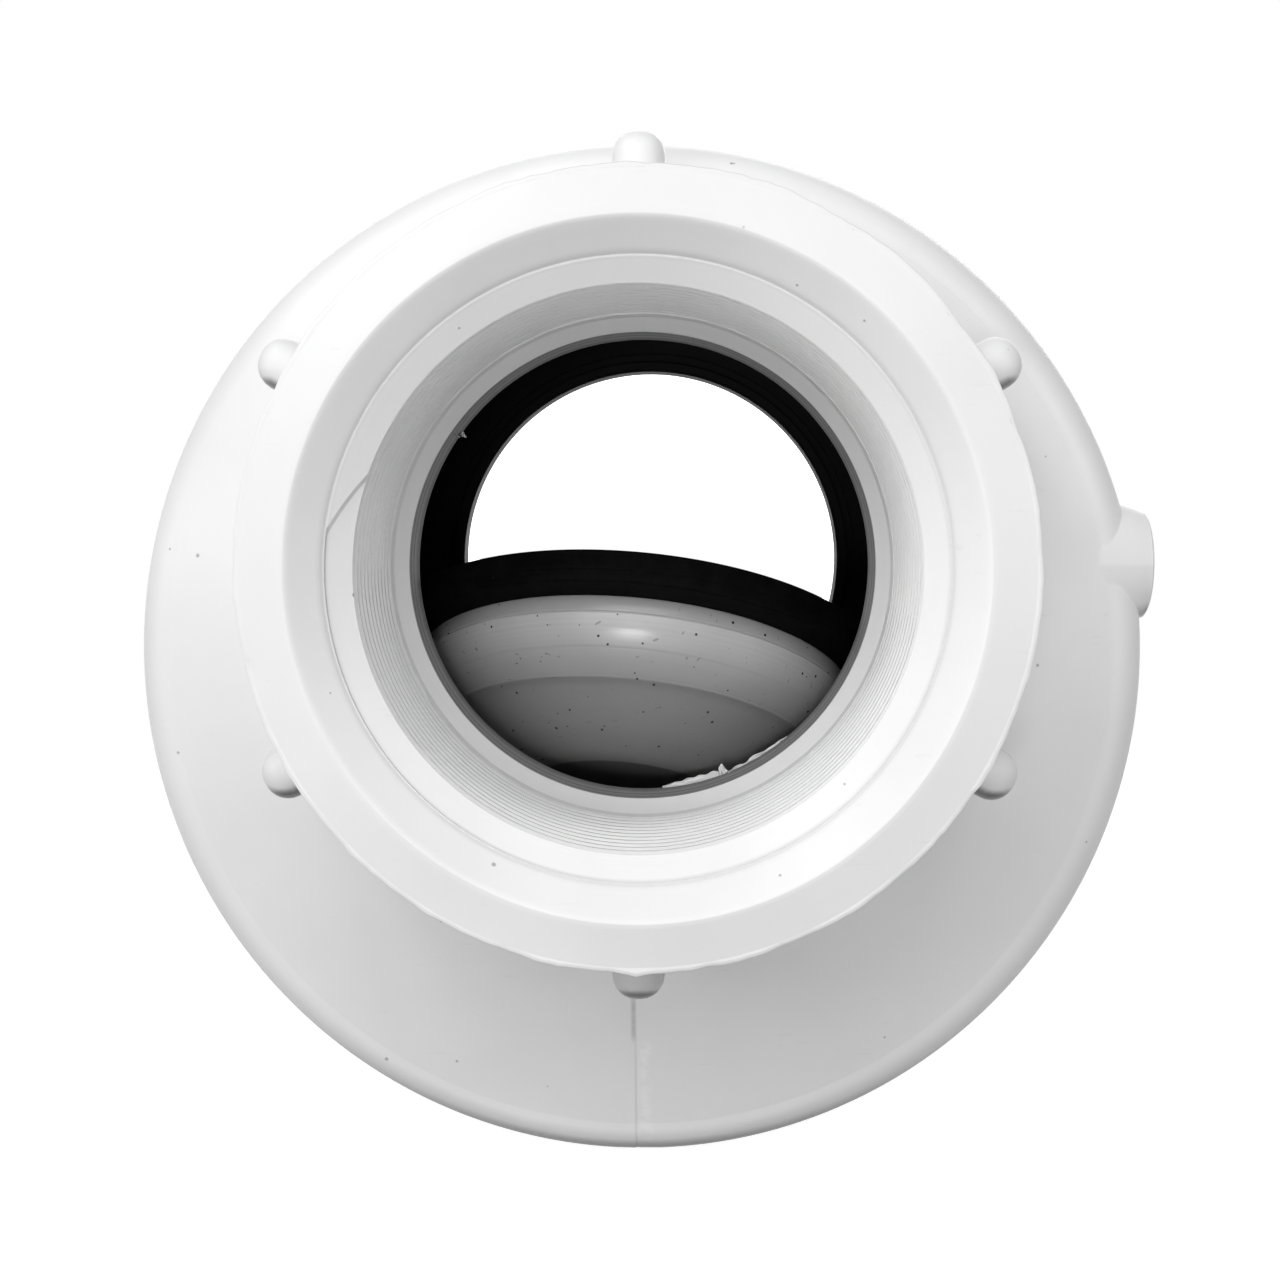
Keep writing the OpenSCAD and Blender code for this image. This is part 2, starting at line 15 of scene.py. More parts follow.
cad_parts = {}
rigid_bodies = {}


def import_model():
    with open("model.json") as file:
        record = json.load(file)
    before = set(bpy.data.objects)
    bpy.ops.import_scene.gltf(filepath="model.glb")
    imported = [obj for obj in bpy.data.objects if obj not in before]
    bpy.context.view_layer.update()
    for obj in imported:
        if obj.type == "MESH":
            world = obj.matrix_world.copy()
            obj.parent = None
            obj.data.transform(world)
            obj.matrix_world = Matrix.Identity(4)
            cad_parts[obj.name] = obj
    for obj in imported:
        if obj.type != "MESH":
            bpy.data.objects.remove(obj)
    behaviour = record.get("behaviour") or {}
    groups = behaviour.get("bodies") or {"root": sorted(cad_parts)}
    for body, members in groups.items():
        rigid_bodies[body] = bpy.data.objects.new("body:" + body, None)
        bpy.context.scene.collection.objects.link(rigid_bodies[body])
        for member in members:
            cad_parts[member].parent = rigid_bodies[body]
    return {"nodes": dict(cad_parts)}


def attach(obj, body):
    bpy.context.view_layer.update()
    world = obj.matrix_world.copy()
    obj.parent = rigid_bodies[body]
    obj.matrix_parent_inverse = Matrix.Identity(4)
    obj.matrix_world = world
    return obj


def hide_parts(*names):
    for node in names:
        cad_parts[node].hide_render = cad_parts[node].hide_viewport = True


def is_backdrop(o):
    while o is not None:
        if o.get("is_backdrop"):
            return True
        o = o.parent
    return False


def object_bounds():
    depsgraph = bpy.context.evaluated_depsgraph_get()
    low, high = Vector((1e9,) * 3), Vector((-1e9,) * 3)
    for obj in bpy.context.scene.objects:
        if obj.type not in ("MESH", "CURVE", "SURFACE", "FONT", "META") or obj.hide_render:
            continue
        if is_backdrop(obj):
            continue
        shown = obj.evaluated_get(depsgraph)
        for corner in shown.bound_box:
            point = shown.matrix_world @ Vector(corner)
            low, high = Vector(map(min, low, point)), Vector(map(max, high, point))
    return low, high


bl_info = {
    "name": "Swing non-return valve",
    "version": (1, 0, 0),
    "blender": (4, 5, 0),
    "location": "View3D > Sidebar > Valve",
    "description": "Builds the fine shells and finishes of a white PVC swing non-return valve",
    "category": "Object",
}

for left_over in list(bpy.data.objects):
    bpy.data.objects.remove(left_over)
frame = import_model()
CAD_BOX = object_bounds()

MM = 0.001

# Both halves: ends, joint, bell, hubs and grip ribs
OUTLET_END, INLET_END = -8.0, 154.0
MIDDLE = (OUTLET_END + INLET_END) / 2
JOINT_Y = 94.0
WALL = 5.0
CREASE_R = 59.5
FACE_SLOPE = math.tan(math.radians(20))
COLLAR_R = 41.2
RIM_R = 35.8
RIB_ANGLES = [math.radians(30 + 60 * i) for i in range(6)]
RIB_TIP_R = 46.8
RIB_HALF_WIDTH = 2.85

# The outlet's port from its mouth to the chamber, and the boss
MOUTH_Y = -3.1
LEAD_IN_R = 32.16
THREAD_R = 29.6
THREAD_WALL_R = 30.4
RELIEF_Y = 23.1
BORE_R = 27.8
BORE_Y = 27.9
CHAMBER_Y = 40.6
BOSS_Y = 46.0

# The inlet half's spigot, pocket and socket
SPIGOT_R = 54.99
SPIGOT_Y = 82.0
POCKET_R = 43.8
POCKET_Y = 114.8
SOCKET_R = 31.6

# The seat and the hinge of the flap
SEAT_Y = 109.0
HINGE_Y = 94.7
HINGE_DROP = 43.8

# What an outline notes of its points, and the marks among that
NOTES = ("share", "lift", "mark")
ON_FACE, ON_COLLAR, ON_LEAD_IN, ON_CONE = 1, 2, 3, 4

# Paler white for painted light in the socket and the thread's relief
PAINTED_LIGHT_WHITE = (0.98, 0.98, 0.98)
# Paler white of a patch beside the parting line
PATCH_WHITE = (0.97, 0.97, 0.97)
DUST = (0.10, 0.10, 0.10)
DARK_DUST = (0.09, 0.09, 0.09)

# Each lamp has its name, its place and size in metres and its power in watts
LAMPS = (
    ("top_lamp", (0.0, -0.68, 0.42), (0.6, 0.6), 1.7),
    ("window_lamp", (-0.55, -0.66, 0.35), (0.7, 0.7), 2.1),
    ("key_lamp", (-0.38, -0.3, 0.55), (0.14, 0.14), 0.65),
    ("left_lamp", (-0.75, -0.3, 0.0), (0.4, 0.4), 0.7),
    ("right_lamp", (0.6, -0.55, 0.2), (0.5, 0.5), 0.85),
    ("glint_lamp", (-0.045, -0.62, -0.06), (0.2, 0.05), 1.0),
    ("back_lamp", (0.05, 0.75, 0.25), (0.7, 0.7), 2.4),
)
LAMP_AIM = (0, 0.03, 0)
CAMERA_DIP = math.radians(3.04)
CAMERA_TURN = math.radians(1.01)


def length(name, about, default, low=0.0, high=0.2):
    """A length property in metres."""
    return FloatProperty(
        name=name, description=about, default=default, min=low, max=high, unit="LENGTH", precision=5
    )


def colour(name, about, default):
    """A colour property."""
    return FloatVectorProperty(
        name=name, description=about, default=default, size=3, min=0, max=1, subtype="COLOR"
    )


class ShellSizes(bpy.types.PropertyGroup):
    """Sizes of the two moulded halves."""

    bell_radius: length("Bell radius", "Outer radius of the bell", 0.06425)
    bell_drop: length("Bell drop", "Distance that the bell's axis lies below the port axis", 0.0112)
    bell_side: length("Bell side", "How far the bell stands to the left of the port axis", 0.00055)
    narrowing: length("Bell narrowing", "How much narrower than high the bell is, each side", 0.00055)
    hub_radius: length("Hub radius", "Radius of the hubs behind their collars", 0.0396)
    root_fillet: length("Root fillet", "Fillet where hubs and ribs meet the bell", 0.0022)
    ragged: length("Ragged edge", "How far the collar's moulded edge strays from round", 0.00026)
    flash: length("Flash", "Height of the fine ridge along the parting line", 0.00018)
    arrow_height: length("Arrow height", "Height of the raised flow arrow", 0.0007)
    segments: IntProperty(
        name="Segments", description="Steps round each shell", default=288, min=96, max=384
    )


class ThreadSizes(bpy.types.PropertyGroup):
    """Sizes of the outlet thread."""

    crest_radius: length("Crest radius", "Radius of the thread's crests", 0.0296)
    pitch: length("Pitch", "Distance from crest to crest", 0.002309)
    turns: FloatProperty(
        name="Turns", description="Turns of the thread", default=11.1, min=4, max=12
    )


class FlapSizes(bpy.types.PropertyGroup):
    """Sizes and place of the flap."""

    open_angle: FloatProperty(
        name="Open angle",
        description="Angle that the flap stands open",
        default=math.radians(65.5),
        min=0,
        max=math.radians(65.5),
        subtype="ANGLE",
    )
    roll: FloatProperty(
        name="Carrier turn",
        description="Turn of the seat carrier about the port axis",
        default=math.radians(5.4),
        subtype="ANGLE",
    )
    lip_radius: length("Lip radius", "Radius of the disc next to the seal", 0.0291)
    ridge_radius: length("Ridge radius", "Radius of the ridge under the dome", 0.0249)
    seal_radius: length("Seal radius", "Radius of the rubber seal", 0.0336)


class Finishes(bpy.types.PropertyGroup):
    """Colours of the finishes."""

    white: colour("White PVC", "Colour of the moulded body", (0.88, 0.88, 0.88))
    # Painted shade: the bore's dark grey stands for the shade deep in the port
    bore: colour("Turned bore", "Colour of the dark ring behind the thread", (0.28, 0.28, 0.28))
    # Painted shade: the chamber's near black stands for the shade inside the bell
    chamber: colour("Chamber", "Colour of the chamber's dark inner wall", (0.012, 0.012, 0.012))
    # Painted shade: the flap's grey stands for the shade on its white disc in the chamber
    flap: colour("Flap PVC", "Colour of the turned flap", (0.58, 0.58, 0.58))
    black: colour("Black plastic", "Colour of the seat carrier", (0.003, 0.003, 0.003))
    rubber: colour("Rubber", "Colour of the seal and the O-ring", (0.002, 0.002, 0.002))
    steel: colour("Steel", "Colour of the pin, clips and screws", (0.56, 0.56, 0.57))
    acetal: colour("Acetal", "Colour of the hinge bushes", (0.78, 0.75, 0.66))


class StageSettings(bpy.types.PropertyGroup):
    """Lamps and camera."""

    lamp_power: FloatProperty(
        name="Lamps", description="Strength of all lamps together", default=1.0, min=0
    )
    room_light: FloatProperty(
        name="Room", description="Light from all round", default=0.3, min=0
    )
    lens: FloatProperty(name="Lens", description="Focal length in mm", default=54.8, min=10)
    camera_place: FloatVectorProperty(
        name="Camera",
        description="Place of the camera",
        default=(0.00386, -0.205, 0.00359),
        subtype="TRANSLATION",
    )


class Value:
    """A socket that adds Math nodes when it meets an operator."""

    def __init__(self, nodes, socket):
        self.nodes = nodes
        self.socket = socket

    def __add__(self, other):
        return self.nodes.math("ADD", self, other)

    __radd__ = __add__

    def __sub__(self, other):
        return self.nodes.math("SUBTRACT", self, other)

    def __rsub__(self, other):
        return self.nodes.math("SUBTRACT", other, self)

    def __mul__(self, other):
        return self.nodes.math("MULTIPLY", self, other)

    __rmul__ = __mul__

    def __pow__(self, other):
        return self.nodes.math("POWER", self, other)

    def __abs__(self):
        return self.nodes.math("ABSOLUTE", self)


class Nodes:
    """Adds nodes to a tree that it empties first."""

    def __init__(self, tree):
        self.tree = tree
        self.tree.nodes.clear()

    def node(self, kind, settings, sockets, output=0):
        """Adds a node, sets it up, fills or links its sockets and returns one output."""
        made = self.tree.nodes.new("ShaderNode" + kind)
        for key, value in settings.items():
            setattr(made, key, value)
        for key, value in sockets.items():
            if isinstance(value, Value):
                self.tree.links.new(value.socket, made.inputs[key])
            else:
                made.inputs[key].default_value = value
        return Value(self, made.outputs[output]) if len(made.outputs) else None

    def math(self, operation, *values):
        return self.node("Math", {"operation": operation}, dict(enumerate(values)))

    def seen_by(self, *rays):
        """1 for the kinds of rays that are named, 0 for others."""
        seen, *more = [self.node("LightPath", {}, {}, f"Is {ray} Ray") for ray in rays]
        for kind in more:
            seen = self.math("MAXIMUM", seen, kind)
        return seen


class Finish(Nodes):
    """One material, on the object's own coordinates in millimetres."""

    def __init__(self, name):
        self.material = bpy.data.materials.new(name)
        self.material.use_nodes = True
        super().__init__(self.material.node_tree)
        metres = self.node("TexCoord", {}, {}, "Object")
        self.place = self.node("Mapping", {}, {"Vector": metres, "Scale": (1 / MM,) * 3})
        self.x, self.y, self.z = self.parts(self.place)

    def parts(self, vector):
        """The three numbers of a vector."""
        split = self.node("SeparateXYZ", {}, {0: vector}).socket.node
        return [Value(self, output) for output in split.outputs]

    def combine(self, x, y, z):
        return self.node("CombineXYZ", {}, {0: x, 1: y, 2: z})

    def band(self, value, low, high):
        """0 below low, 1 above high and smooth between, or the reverse where low is the larger."""
        falls = float(low > high)
        ends = {"From Min": min(low, high), "From Max": max(low, high)}
        ends.update({"To Min": falls, "To Max": 1.0 - falls})
        return self.node("MapRange", {"interpolation_type": "SMOOTHSTEP"}, {"Value": value, **ends})

    def near(self, value, centre, inner, outer):
        """1 where the value is within inner of a centre, 0 past outer and smooth between."""
        return self.band(abs(value - centre), outer, inner)

    def noise(self, scale, detail=2.0, rough=0.5, vector=None):
        where = vector or self.place
        return self.node(
            "TexNoise", {}, {"Vector": where, "Scale": scale, "Detail": detail, "Roughness": rough}
        )

    def specks(self, size, spread):
        """Small round spots of a size in mm, on average about spread mm apart in depth and width."""
        near = self.node("TexVoronoi", {}, {"Vector": self.place, "Scale": 1 / spread}, "Distance")
        return self.band(near, size / spread, size / spread * 0.6)

    def crevice(self, reach):
        """1 in corners tighter than about the reach in mm, 0 in the open."""
        open_sky = self.node("AmbientOcclusion", {"samples": 6}, {"Distance": reach * MM}, "AO")
        return self.band(open_sky, 0.72, 0.3)

    def mix(self, under, over, factor):
        """Mixes two colours; each is a tuple or a socket."""
        under, over = ((*c, 1.0) if isinstance(c, tuple) else c for c in (under, over))
        return self.node("Mix", {"data_type": "RGBA"}, {"Factor": factor, 6: under, 7: over}, 2)

    def clouded(self, rgb, dark, pale, pattern, edge=0.3):
        """A colour between two of its tones, by a pattern whose middle counts most."""
        high = 1 - edge
        return self.mix(tint(rgb, dark), tint(rgb, pale), self.band(pattern, edge, high))

    def painted(self, base, layers):
        """Lays colours over a base in order; each layer is a colour and its mask."""
        for over, mask in layers:
            base = self.mix(base, over, mask)
        return base

    def bump(self, height, depth, strength, soften):
        """A normal from a height in 0 to 1 that is depth mm tall, over edges softened in mm."""
        rounded_edge = self.node("Bevel", {"samples": 6}, {"Radius": soften * MM})
        sockets = {"Height": height, "Distance": depth * MM, "Strength": strength}
        return self.node("Bump", {}, {**sockets, "Normal": rounded_edge})

    def surface(self, base, rough, normal, specular=0.5, metallic=0.0, coat=0.0):
        """Closes the tree with a Principled shader."""
        sockets = {"Base Color": base, "Roughness": rough, "Normal": normal, "Coat Weight": coat}
        sockets.update({"Specular IOR Level": specular, "Metallic": metallic})
        shader = self.node("BsdfPrincipled", {}, sockets)
        self.node("OutputMaterial", {}, {0: shader})
        return self.material


def tint(rgb, factor):
    """The colour times a factor."""
    return tuple(min(1.0, c * factor) for c in rgb)


def tones(rgb, *pairs):
    """Layers of a colour's tones: each pair is a factor and a mask."""
    return [(tint(rgb, factor), mask) for factor, mask in pairs]


def from_axis(across, up):
    """Distance from an axis to what lies across and up from it."""
    return (across * across + up * up) ** 0.5


class WhiteFinish(Finish):
    """Moulded white PVC: the patterns and places that its layers share. The limits of its bands
    are millimetres of radius about the port axis or along Y, or shares of a pattern."""

    def __init__(self, name, white):
        super().__init__(name)
        self.white = white
        self.port_r = from_axis(self.x, self.z)
        self.from_middle = abs(self.y - MIDDLE)
        self.up = self.parts(self.node("NewGeometry", {}, {}, "Normal"))[2]
        self.clouds = self.noise(0.035, 3.0)
        self.blotches = self.noise(0.7, 3.0, 0.6)
        streaks = self.noise(0.5, 4.0, 0.65, self.combine(self.x * 0.22, self.y, self.z * 2.2))
        self.scuffs = self.band(streaks, 0.66, 0.72)
        self.in_port = self.band(self.port_r, THREAD_WALL_R + 0.8, THREAD_WALL_R)
        in_mouth = self.band(self.port_r, SOCKET_R + 1.4, SOCKET_R + 1.1)
        self.in_socket = in_mouth * self.band(self.y, POCKET_Y - 0.9, POCKET_Y - 0.7)

    def soiling_and_corner_shade(self):
        """Specks, scuffs, and painted shade in tight corners."""
        specks = self.specks(0.3, 8.5) + self.specks(0.17, 5.5)
        # Painted shade: tight corners are darkened, less inside the port
        corner_shade = self.crevice(1.3) * (0.75 - self.in_port * 0.55)
        return tones(self.white, (0.35, specks * 0.75), (0.93, self.scuffs * 0.5), (0.22, corner_shade))

    def parting_line(self):
        """The line down the bell's face and a soft band beside it near the hub, both painted shade of
        the parting step, and a paler patch.
        """
        on_bell = self.band(self.port_r, 41.0, 42.5) * self.band(self.y, 26.6, 27.2)
        low = self.band(self.z, 0.0, -1.0) * on_bell
        by_hub = self.band(self.port_r, 59.5, 57.5) * self.band(self.port_r, 48.0, 51.0) * low
        # Painted shade: the dark line and the soft band beside it stand for the parting step's shade
        line = self.near(self.x, -0.9, 0.05, 0.2) * self.band(self.clouds, 0.35, 0.6) * on_bell
        step_shade_by_hub = self.near(self.x, -1.15, 0.05, 0.45) * by_hub * (0.1 + self.blotches * 0.6)
        patch = self.near(self.x, 0.4, 0.3, 1.1) * self.band(self.port_r, 58.5, 60.5) * low
        pale_patch = patch * self.band(self.blotches, 0.4, 0.6) * 0.8
        return [*tones(self.white, (0.3, line * 0.2 + step_shade_by_hub)), (PATCH_WHITE, pale_patch)]

    def hub_painted_shade_and_rim_line(self):
        """Painted shade in the mouth's corner, on the low ribs, under the ribs' tips and under the
        hub's root, and a darker line on the rims' upper faces.
        """
        corner = self.near(self.port_r, 32.3, 0.0, 0.5) * self.band(self.y, -3.6, -4.4)
        ribs = self.band(self.from_middle, 46.5, 47.5) * self.band(self.port_r, 42.2, 42.8)
        low_ribs = ribs * self.band(self.z, -12.0, -46.0) * (0.35 + self.blotches * 0.3)
        tips = ribs * self.band(self.from_middle, 66.5, 69.5)
        root = self.band(self.from_middle, 28.0, 31.0) * self.band(self.from_middle, 36.5, 35.5)
        rim = self.band(self.port_r, 40.7, 41.1) * self.band(self.from_middle, 78.4, 78.8)
        # Painted shade on the corner, the low ribs and the downward faces; the rim line is a darker
        # tone
        return tones(
            self.white,
            (0.55, corner * 0.35),
            (0.45, low_ribs),
            (0.12, tips * self.band(self.up, -0.4, -0.75)),
            (0.2, root * self.band(self.up, -0.6, -0.96)),
            (0.6, rim * self.band(self.up, 0.3, 0.8) * 0.8),
        )

    def painted_light_parts(self):
        """Painted light: the socket and the thread's relief get a paler white, so that they stay
        bright.
        """
        relief = self.band(self.port_r, 30.2, 30.0) * self.band(self.y, 22.8, 23.0)
        return [(PAINTED_LIGHT_WHITE, self.in_socket), (PAINTED_LIGHT_WHITE, relief)]


def moulded_white(name, look, bell_drop=None):
    """White PVC: soft gloss, faint flow clouds, orange peel, specks, painted shade in corners, on the
    low ribs and along the parting line, painted light in the socket and the thread's relief, and a
    coat in the socket. Given the bell's drop, its bore and the chamber in the bell get painted shade:
    a dark grey ring and near black."""
    f = WhiteFinish(name, tuple(look.white))
    base = f.clouded(f.white, 0.965, 1.03, f.clouds)
    layers = [*f.soiling_and_corner_shade(), *f.parting_line(), *f.hub_painted_shade_and_rim_line(), *f.painted_light_parts()]
    rough = (0.36 + f.clouds * 0.10 + f.scuffs * 0.08) * (1 - f.in_socket * 0.85)
    if bell_drop is not None:
        # Painted shade inside: the chamber near black, the turned bore dark grey with its turning
        # marks
        along = f.band(f.y, CHAMBER_Y - 0.25, CHAMBER_Y) * f.band(f.y, SEAT_Y + 0.6, SEAT_Y + 0.2)
        chamber = f.band(from_axis(f.x, f.z + bell_drop), 60.9, 60.3) * along
        bore = f.band(f.port_r, 28.75, 28.55) * f.band(f.y, BORE_Y + 0.05, BORE_Y + 0.15)
        turning = f.noise(1.0, 3.0, 0.7, f.combine(f.port_r * 0.5, f.y * 1.6, 0.3))
        bore_shade_and_turning = f.clouded(look.bore, 0.55, 1.7, turning, 0.35)
        layers += [(bore_shade_and_turning, bore), (tuple(look.chamber), chamber)]
        rough = rough + chamber * 0.3 + bore * 0.45
    rings = f.noise(1.0, 2.0, 0.6, f.combine(f.port_r * 2.2, f.y * 2.2, 0.0))
    grain = f.noise(0.9, 2.0) * 0.5 + f.noise(4.0, 2.0) * 0.12
    height = (grain * (1 - f.in_port) + rings * f.in_port) * (1 - f.in_socket)
    normal = f.bump(height, 0.035, 0.5, 0.12)
    return f.surface(f.painted(base, layers), rough, normal, specular=0.42, coat=f.in_socket)


def turned_flap(name, look, to_flap):
    """White PVC turned on a lathe: fine rings round the flap's own axis, scratches and specks. Its
    grey base and the tones of its side, dome, flat end and lip are painted shade and light.
    """
    f = Finish(name)
    back = to_flap.inverted()
    turn, centre = tuple(back.to_euler()), tuple(back.translation)
    local = f.node("Mapping", {}, {"Vector": f.place, "Rotation": turn, "Location": centre})
    x, along, z = f.parts(local)
    ring_r = from_axis(x, z)
    height = SEAT_Y - along
    lathe = f.noise(1.0, 3.0, 0.75, f.combine(ring_r * 3.1, height * 3.1, 0.0))
    wide = f.noise(1.0, 1.0, 0.5, f.combine(ring_r * 0.5, height * 0.5, 2.0))
    stretched = f.combine(x * 0.5 + z * 0.3, height * 0.4, z * 2.2 - x * 0.9)
    scratches = f.band(f.noise(1.3, 1.0, 0.4, stretched), 0.73, 0.75)
    specks = f.specks(0.22, 2.6) + f.specks(0.13, 1.9)
    side = f.band(height, 5.5, 12.6)
    dome = f.band(height, 12.3, 13.0)
    upper_dome = f.band(ring_r, 18.5, 12.6) * dome
    flat_end = f.band(ring_r, 12.6, 12.1) * f.band(height, 18.5, 19.0)
    lip = f.band(height, 5.75, 5.4)
    # Painted shade on the side, the dome, the flat end and the lip; painted light on the dome next to
    # the flat end
    layers = tones(
        look.flap,
        (0.6, side),
        (0.45, dome * (0.80 + wide * 0.2)),
        (0.62, upper_dome * 0.8),
        (0.3, flat_end),
        (0.7, lip),
        (0.03, specks),
        (0.3, scratches * 0.6),
    )
    base = f.painted(f.clouded(look.flap, 0.95, 1.04, lathe), layers)
    normal = f.bump(lathe + wide * 0.5, 0.02, 0.6, 0.25)
    return f.surface(base, 0.2 + dome * 0.24 + lathe * 0.08, normal)


def black_moulding(name, look):
    """Black plastic with a satin skin and faint turning rings."""
    f = Finish(name)
    port_r = from_axis(f.x, f.z)
    rings = f.noise(1.0, 2.0, 0.6, f.combine(port_r * 1.8, f.y * 1.8, 0.0))
    cloud = f.noise(0.2, 3.0)
    base = f.clouded(look.black, 0.6, 1.6, cloud)
    base = f.mix(base, DARK_DUST, f.specks(0.14, 3.0) * 0.6)
    normal = f.bump(rings + f.noise(1.6, 3.0) * 0.5, 0.03, 0.6, 0.3)
    return f.surface(base, 0.5 + cloud * 0.15, normal, specular=0.1)


def rubber(name, look):
    """Black rubber: dull, with dust and faint flow marks."""
    f = Finish(name)
    cloud = f.noise(0.3, 4.0, 0.6)
    base = f.mix(tint(look.rubber, 0.7), tint(look.rubber, 1.8), f.band(cloud, 0.35, 0.7))
    base = f.mix(base, DUST, f.specks(0.12, 2.5) * 0.4)
    normal = f.bump(f.noise(2.5, 4.0, 0.7), 0.03, 0.6, 0.3)
    return f.surface(base, 0.62 + cloud * 0.2, normal, specular=0.06)


def brushed_steel(name, look):
    """Stainless steel with fine lines."""
    f = Finish(name)
    lines = f.noise(1.0, 3.0, 0.7, f.combine(f.x * 9.0, f.y * 1.2, f.z * 9.0))
    base = f.clouded(look.steel, 0.8, 1.15, lines)
    normal = f.bump(lines, 0.01, 0.7, 0.12)
    return f.surface(base, 0.26 + lines * 0.18, normal, metallic=1.0)


def acetal(name, look):
    """Machined ivory acetal."""
    f = Finish(name)
    turning = f.noise(1.0, 3.0, 0.6, f.combine(f.x * 4.0, f.y * 0.5, f.z * 0.5))
    base = f.clouded(look.acetal, 0.93, 1.0, turning, 0.35)
    return f.surface(base, 0.4 + turning * 0.1, f.bump(turning, 0.02, 0.6, 0.15))


def rounded(corners, steps=3):
    """Points along an open line of (radius, along, fillet) corners, with the inner ones rounded."""
    points = []
    for i, (r, along, fillet) in enumerate(corners):
        here = Vector((r, along))
        if fillet <= 0 or i in (0, len(corners) - 1):
            points.append(here)
            continue
        ways = [Vector(corners[j][:2]) - here for j in (i - 1, i + 1)]
        turn = (math.pi - ways[0].angle(ways[1])) / 2
        reach = min(fillet * math.tan(turn), 0.45 * ways[0].length, 0.45 * ways[1].length)
        start, end = (here + way.normalized() * reach for way in ways)
        for s in range(steps + 1):
            u = s / steps
            points.append(start.lerp(here, u).lerp(here.lerp(end, u), u))
    return [(p.x, p.y) for p in points]


class Outline:
    """A line to be turned: each point has a radius, a place along Y, its share of the bell's drop,
    its lift off the bell's face and a mark that says how it is moved after the turning."""

    def __init__(self, points=()):
        self.points = []
        self.extend(points)

    def add(self, r, along, share=0.0, lift=0.0, mark=0):
        self.points.append((r, along, share, lift, mark))

    def extend(self, points, share=0.0, mark=0):
        for r, along in points:
            self.add(r, along, share, 0.0, mark)


def joined(*parts):
    """One bmesh out of several."""
    whole = bmesh.new()
    for part in parts:
        mesh = bpy.data.meshes.new("part")
        part.to_mesh(mesh)
        part.free()
        whole.from_mesh(mesh)
        bpy.data.meshes.remove(mesh)
    return whole


def verts_of(geometry):
    """The vertices among the parts that an operator returns."""
    return [part for part in geometry if isinstance(part, bmesh.types.BMVert)]


def rotate(bm, angle, axis):
    """Turns a bmesh about an axis through the origin."""
    turn = Matrix.Rotation(angle, 3, axis)
    bmesh.ops.rotate(bm, verts=bm.verts, cent=(0, 0, 0), matrix=turn)


def turned(outline, steps, closed=True):
    """A bmesh made by turning an outline about the Y axis."""
    bm = bmesh.new()
    layers = [bm.verts.layers.float.new(name) for name in NOTES]
    ring = []
    for r, along, *notes in outline.points:
        vert = bm.verts.new((0.0, along, r))
        for layer, note in zip(layers, notes):
            vert[layer] = note
        ring.append(vert)
    edges = [bm.edges.new(pair) for pair in zip(ring, ring[1:] + ring[:1] if closed else ring[1:])]
    bmesh.ops.spin(
        bm, geom=ring + edges, cent=(0, 0, 0), axis=(0, 1, 0), dvec=(0, 0, 0),
        angle=math.tau, steps=steps, use_merge=True,
    )
    bmesh.ops.remove_doubles(bm, verts=bm.verts, dist=1e-5)
    return bm


def keep(bm, name, body, material, nodes=(), sharp=38.0):
    """Turns the bmesh, drawn in millimetres, into a piece that rides on a CAD body."""
    bmesh.ops.recalc_face_normals(bm, faces=bm.faces)
    bmesh.ops.scale(bm, vec=(MM, MM, MM), verts=bm.verts)
    mesh = bpy.data.meshes.new(name)
    bm.to_mesh(mesh)
    bm.free()
    mesh.materials.append(material)
    mesh.shade_smooth()
    mesh.set_sharp_from_angle(angle=math.radians(sharp))
    piece = bpy.data.objects.new(name, mesh)
    bpy.context.scene.collection.objects.link(piece)
    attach(piece, body)
    if nodes:
        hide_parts(*nodes)


def soften(bm, width, segments):
    """Rounds every edge of a bmesh."""
    bmesh.ops.bevel(
        bm, geom=bm.edges, offset=width, offset_type="OFFSET", segments=segments, profile=0.5,
        affect="EDGES", material=-1, clamp_overlap=True,
    )


def bevelled_box(low, high, width, segments):
    """A box between two corners with rounded edges."""
    bm = bmesh.new()
    bmesh.ops.create_cube(bm, size=1.0)
    bmesh.ops.scale(bm, vec=Vector(high) - Vector(low), verts=bm.verts)
    bmesh.ops.translate(bm, vec=(Vector(low) + Vector(high)) / 2, verts=bm.verts)
    soften(bm, width, segments)
    return bm


def fillet_height(distance, fillet):
    """Height of a fillet over the face at a distance from the wall that it runs into."""
    inside = max(0.0, min(fillet, distance))
    return fillet - math.sqrt(max(0.0, fillet**2 - (fillet - inside) ** 2))


def rib_distance(x, z):
    """Distance in the XZ plane from a point to the nearest grip rib's side."""
    root_r, tip_centre_r, tip_r = 38.0, 43.4, 2.7
    distances = []
    for angle in RIB_ANGLES:
        across, up = math.cos(angle), math.sin(angle)
        along = min(tip_centre_r, max(root_r, x * across + z * up))
        distances.append(math.hypot(x - along * across, z - along * up) - tip_r)
    return min(distances)


def lead_in_step(v, sunk):
    """Sinks the lead-in past a slanted step at the upper left, where the thread starts."""
    depth, lean, start, reach = 0.6, math.radians(12), math.radians(160), math.radians(22)
    r = v.co.xz.length
    if r <= LEAD_IN_R:
        slant = (r - THREAD_R) / (LEAD_IN_R - THREAD_R)
    else:
        slant = max(0.0, 1 - (r - LEAD_IN_R) / 3.6)
    angle = math.atan2(v.co.z, v.co.x) % math.tau
    turn = ((angle - start - 0.01) % math.tau) / math.tau
    if sunk:
        v.co.y += depth * (1 - turn) ** 5
    apart = (angle - start + math.pi) % math.tau - math.pi
    angle += lean * slant * math.exp(-((apart / reach) ** 2))
    v.co.x, v.co.z = r * math.cos(angle), r * math.sin(angle)


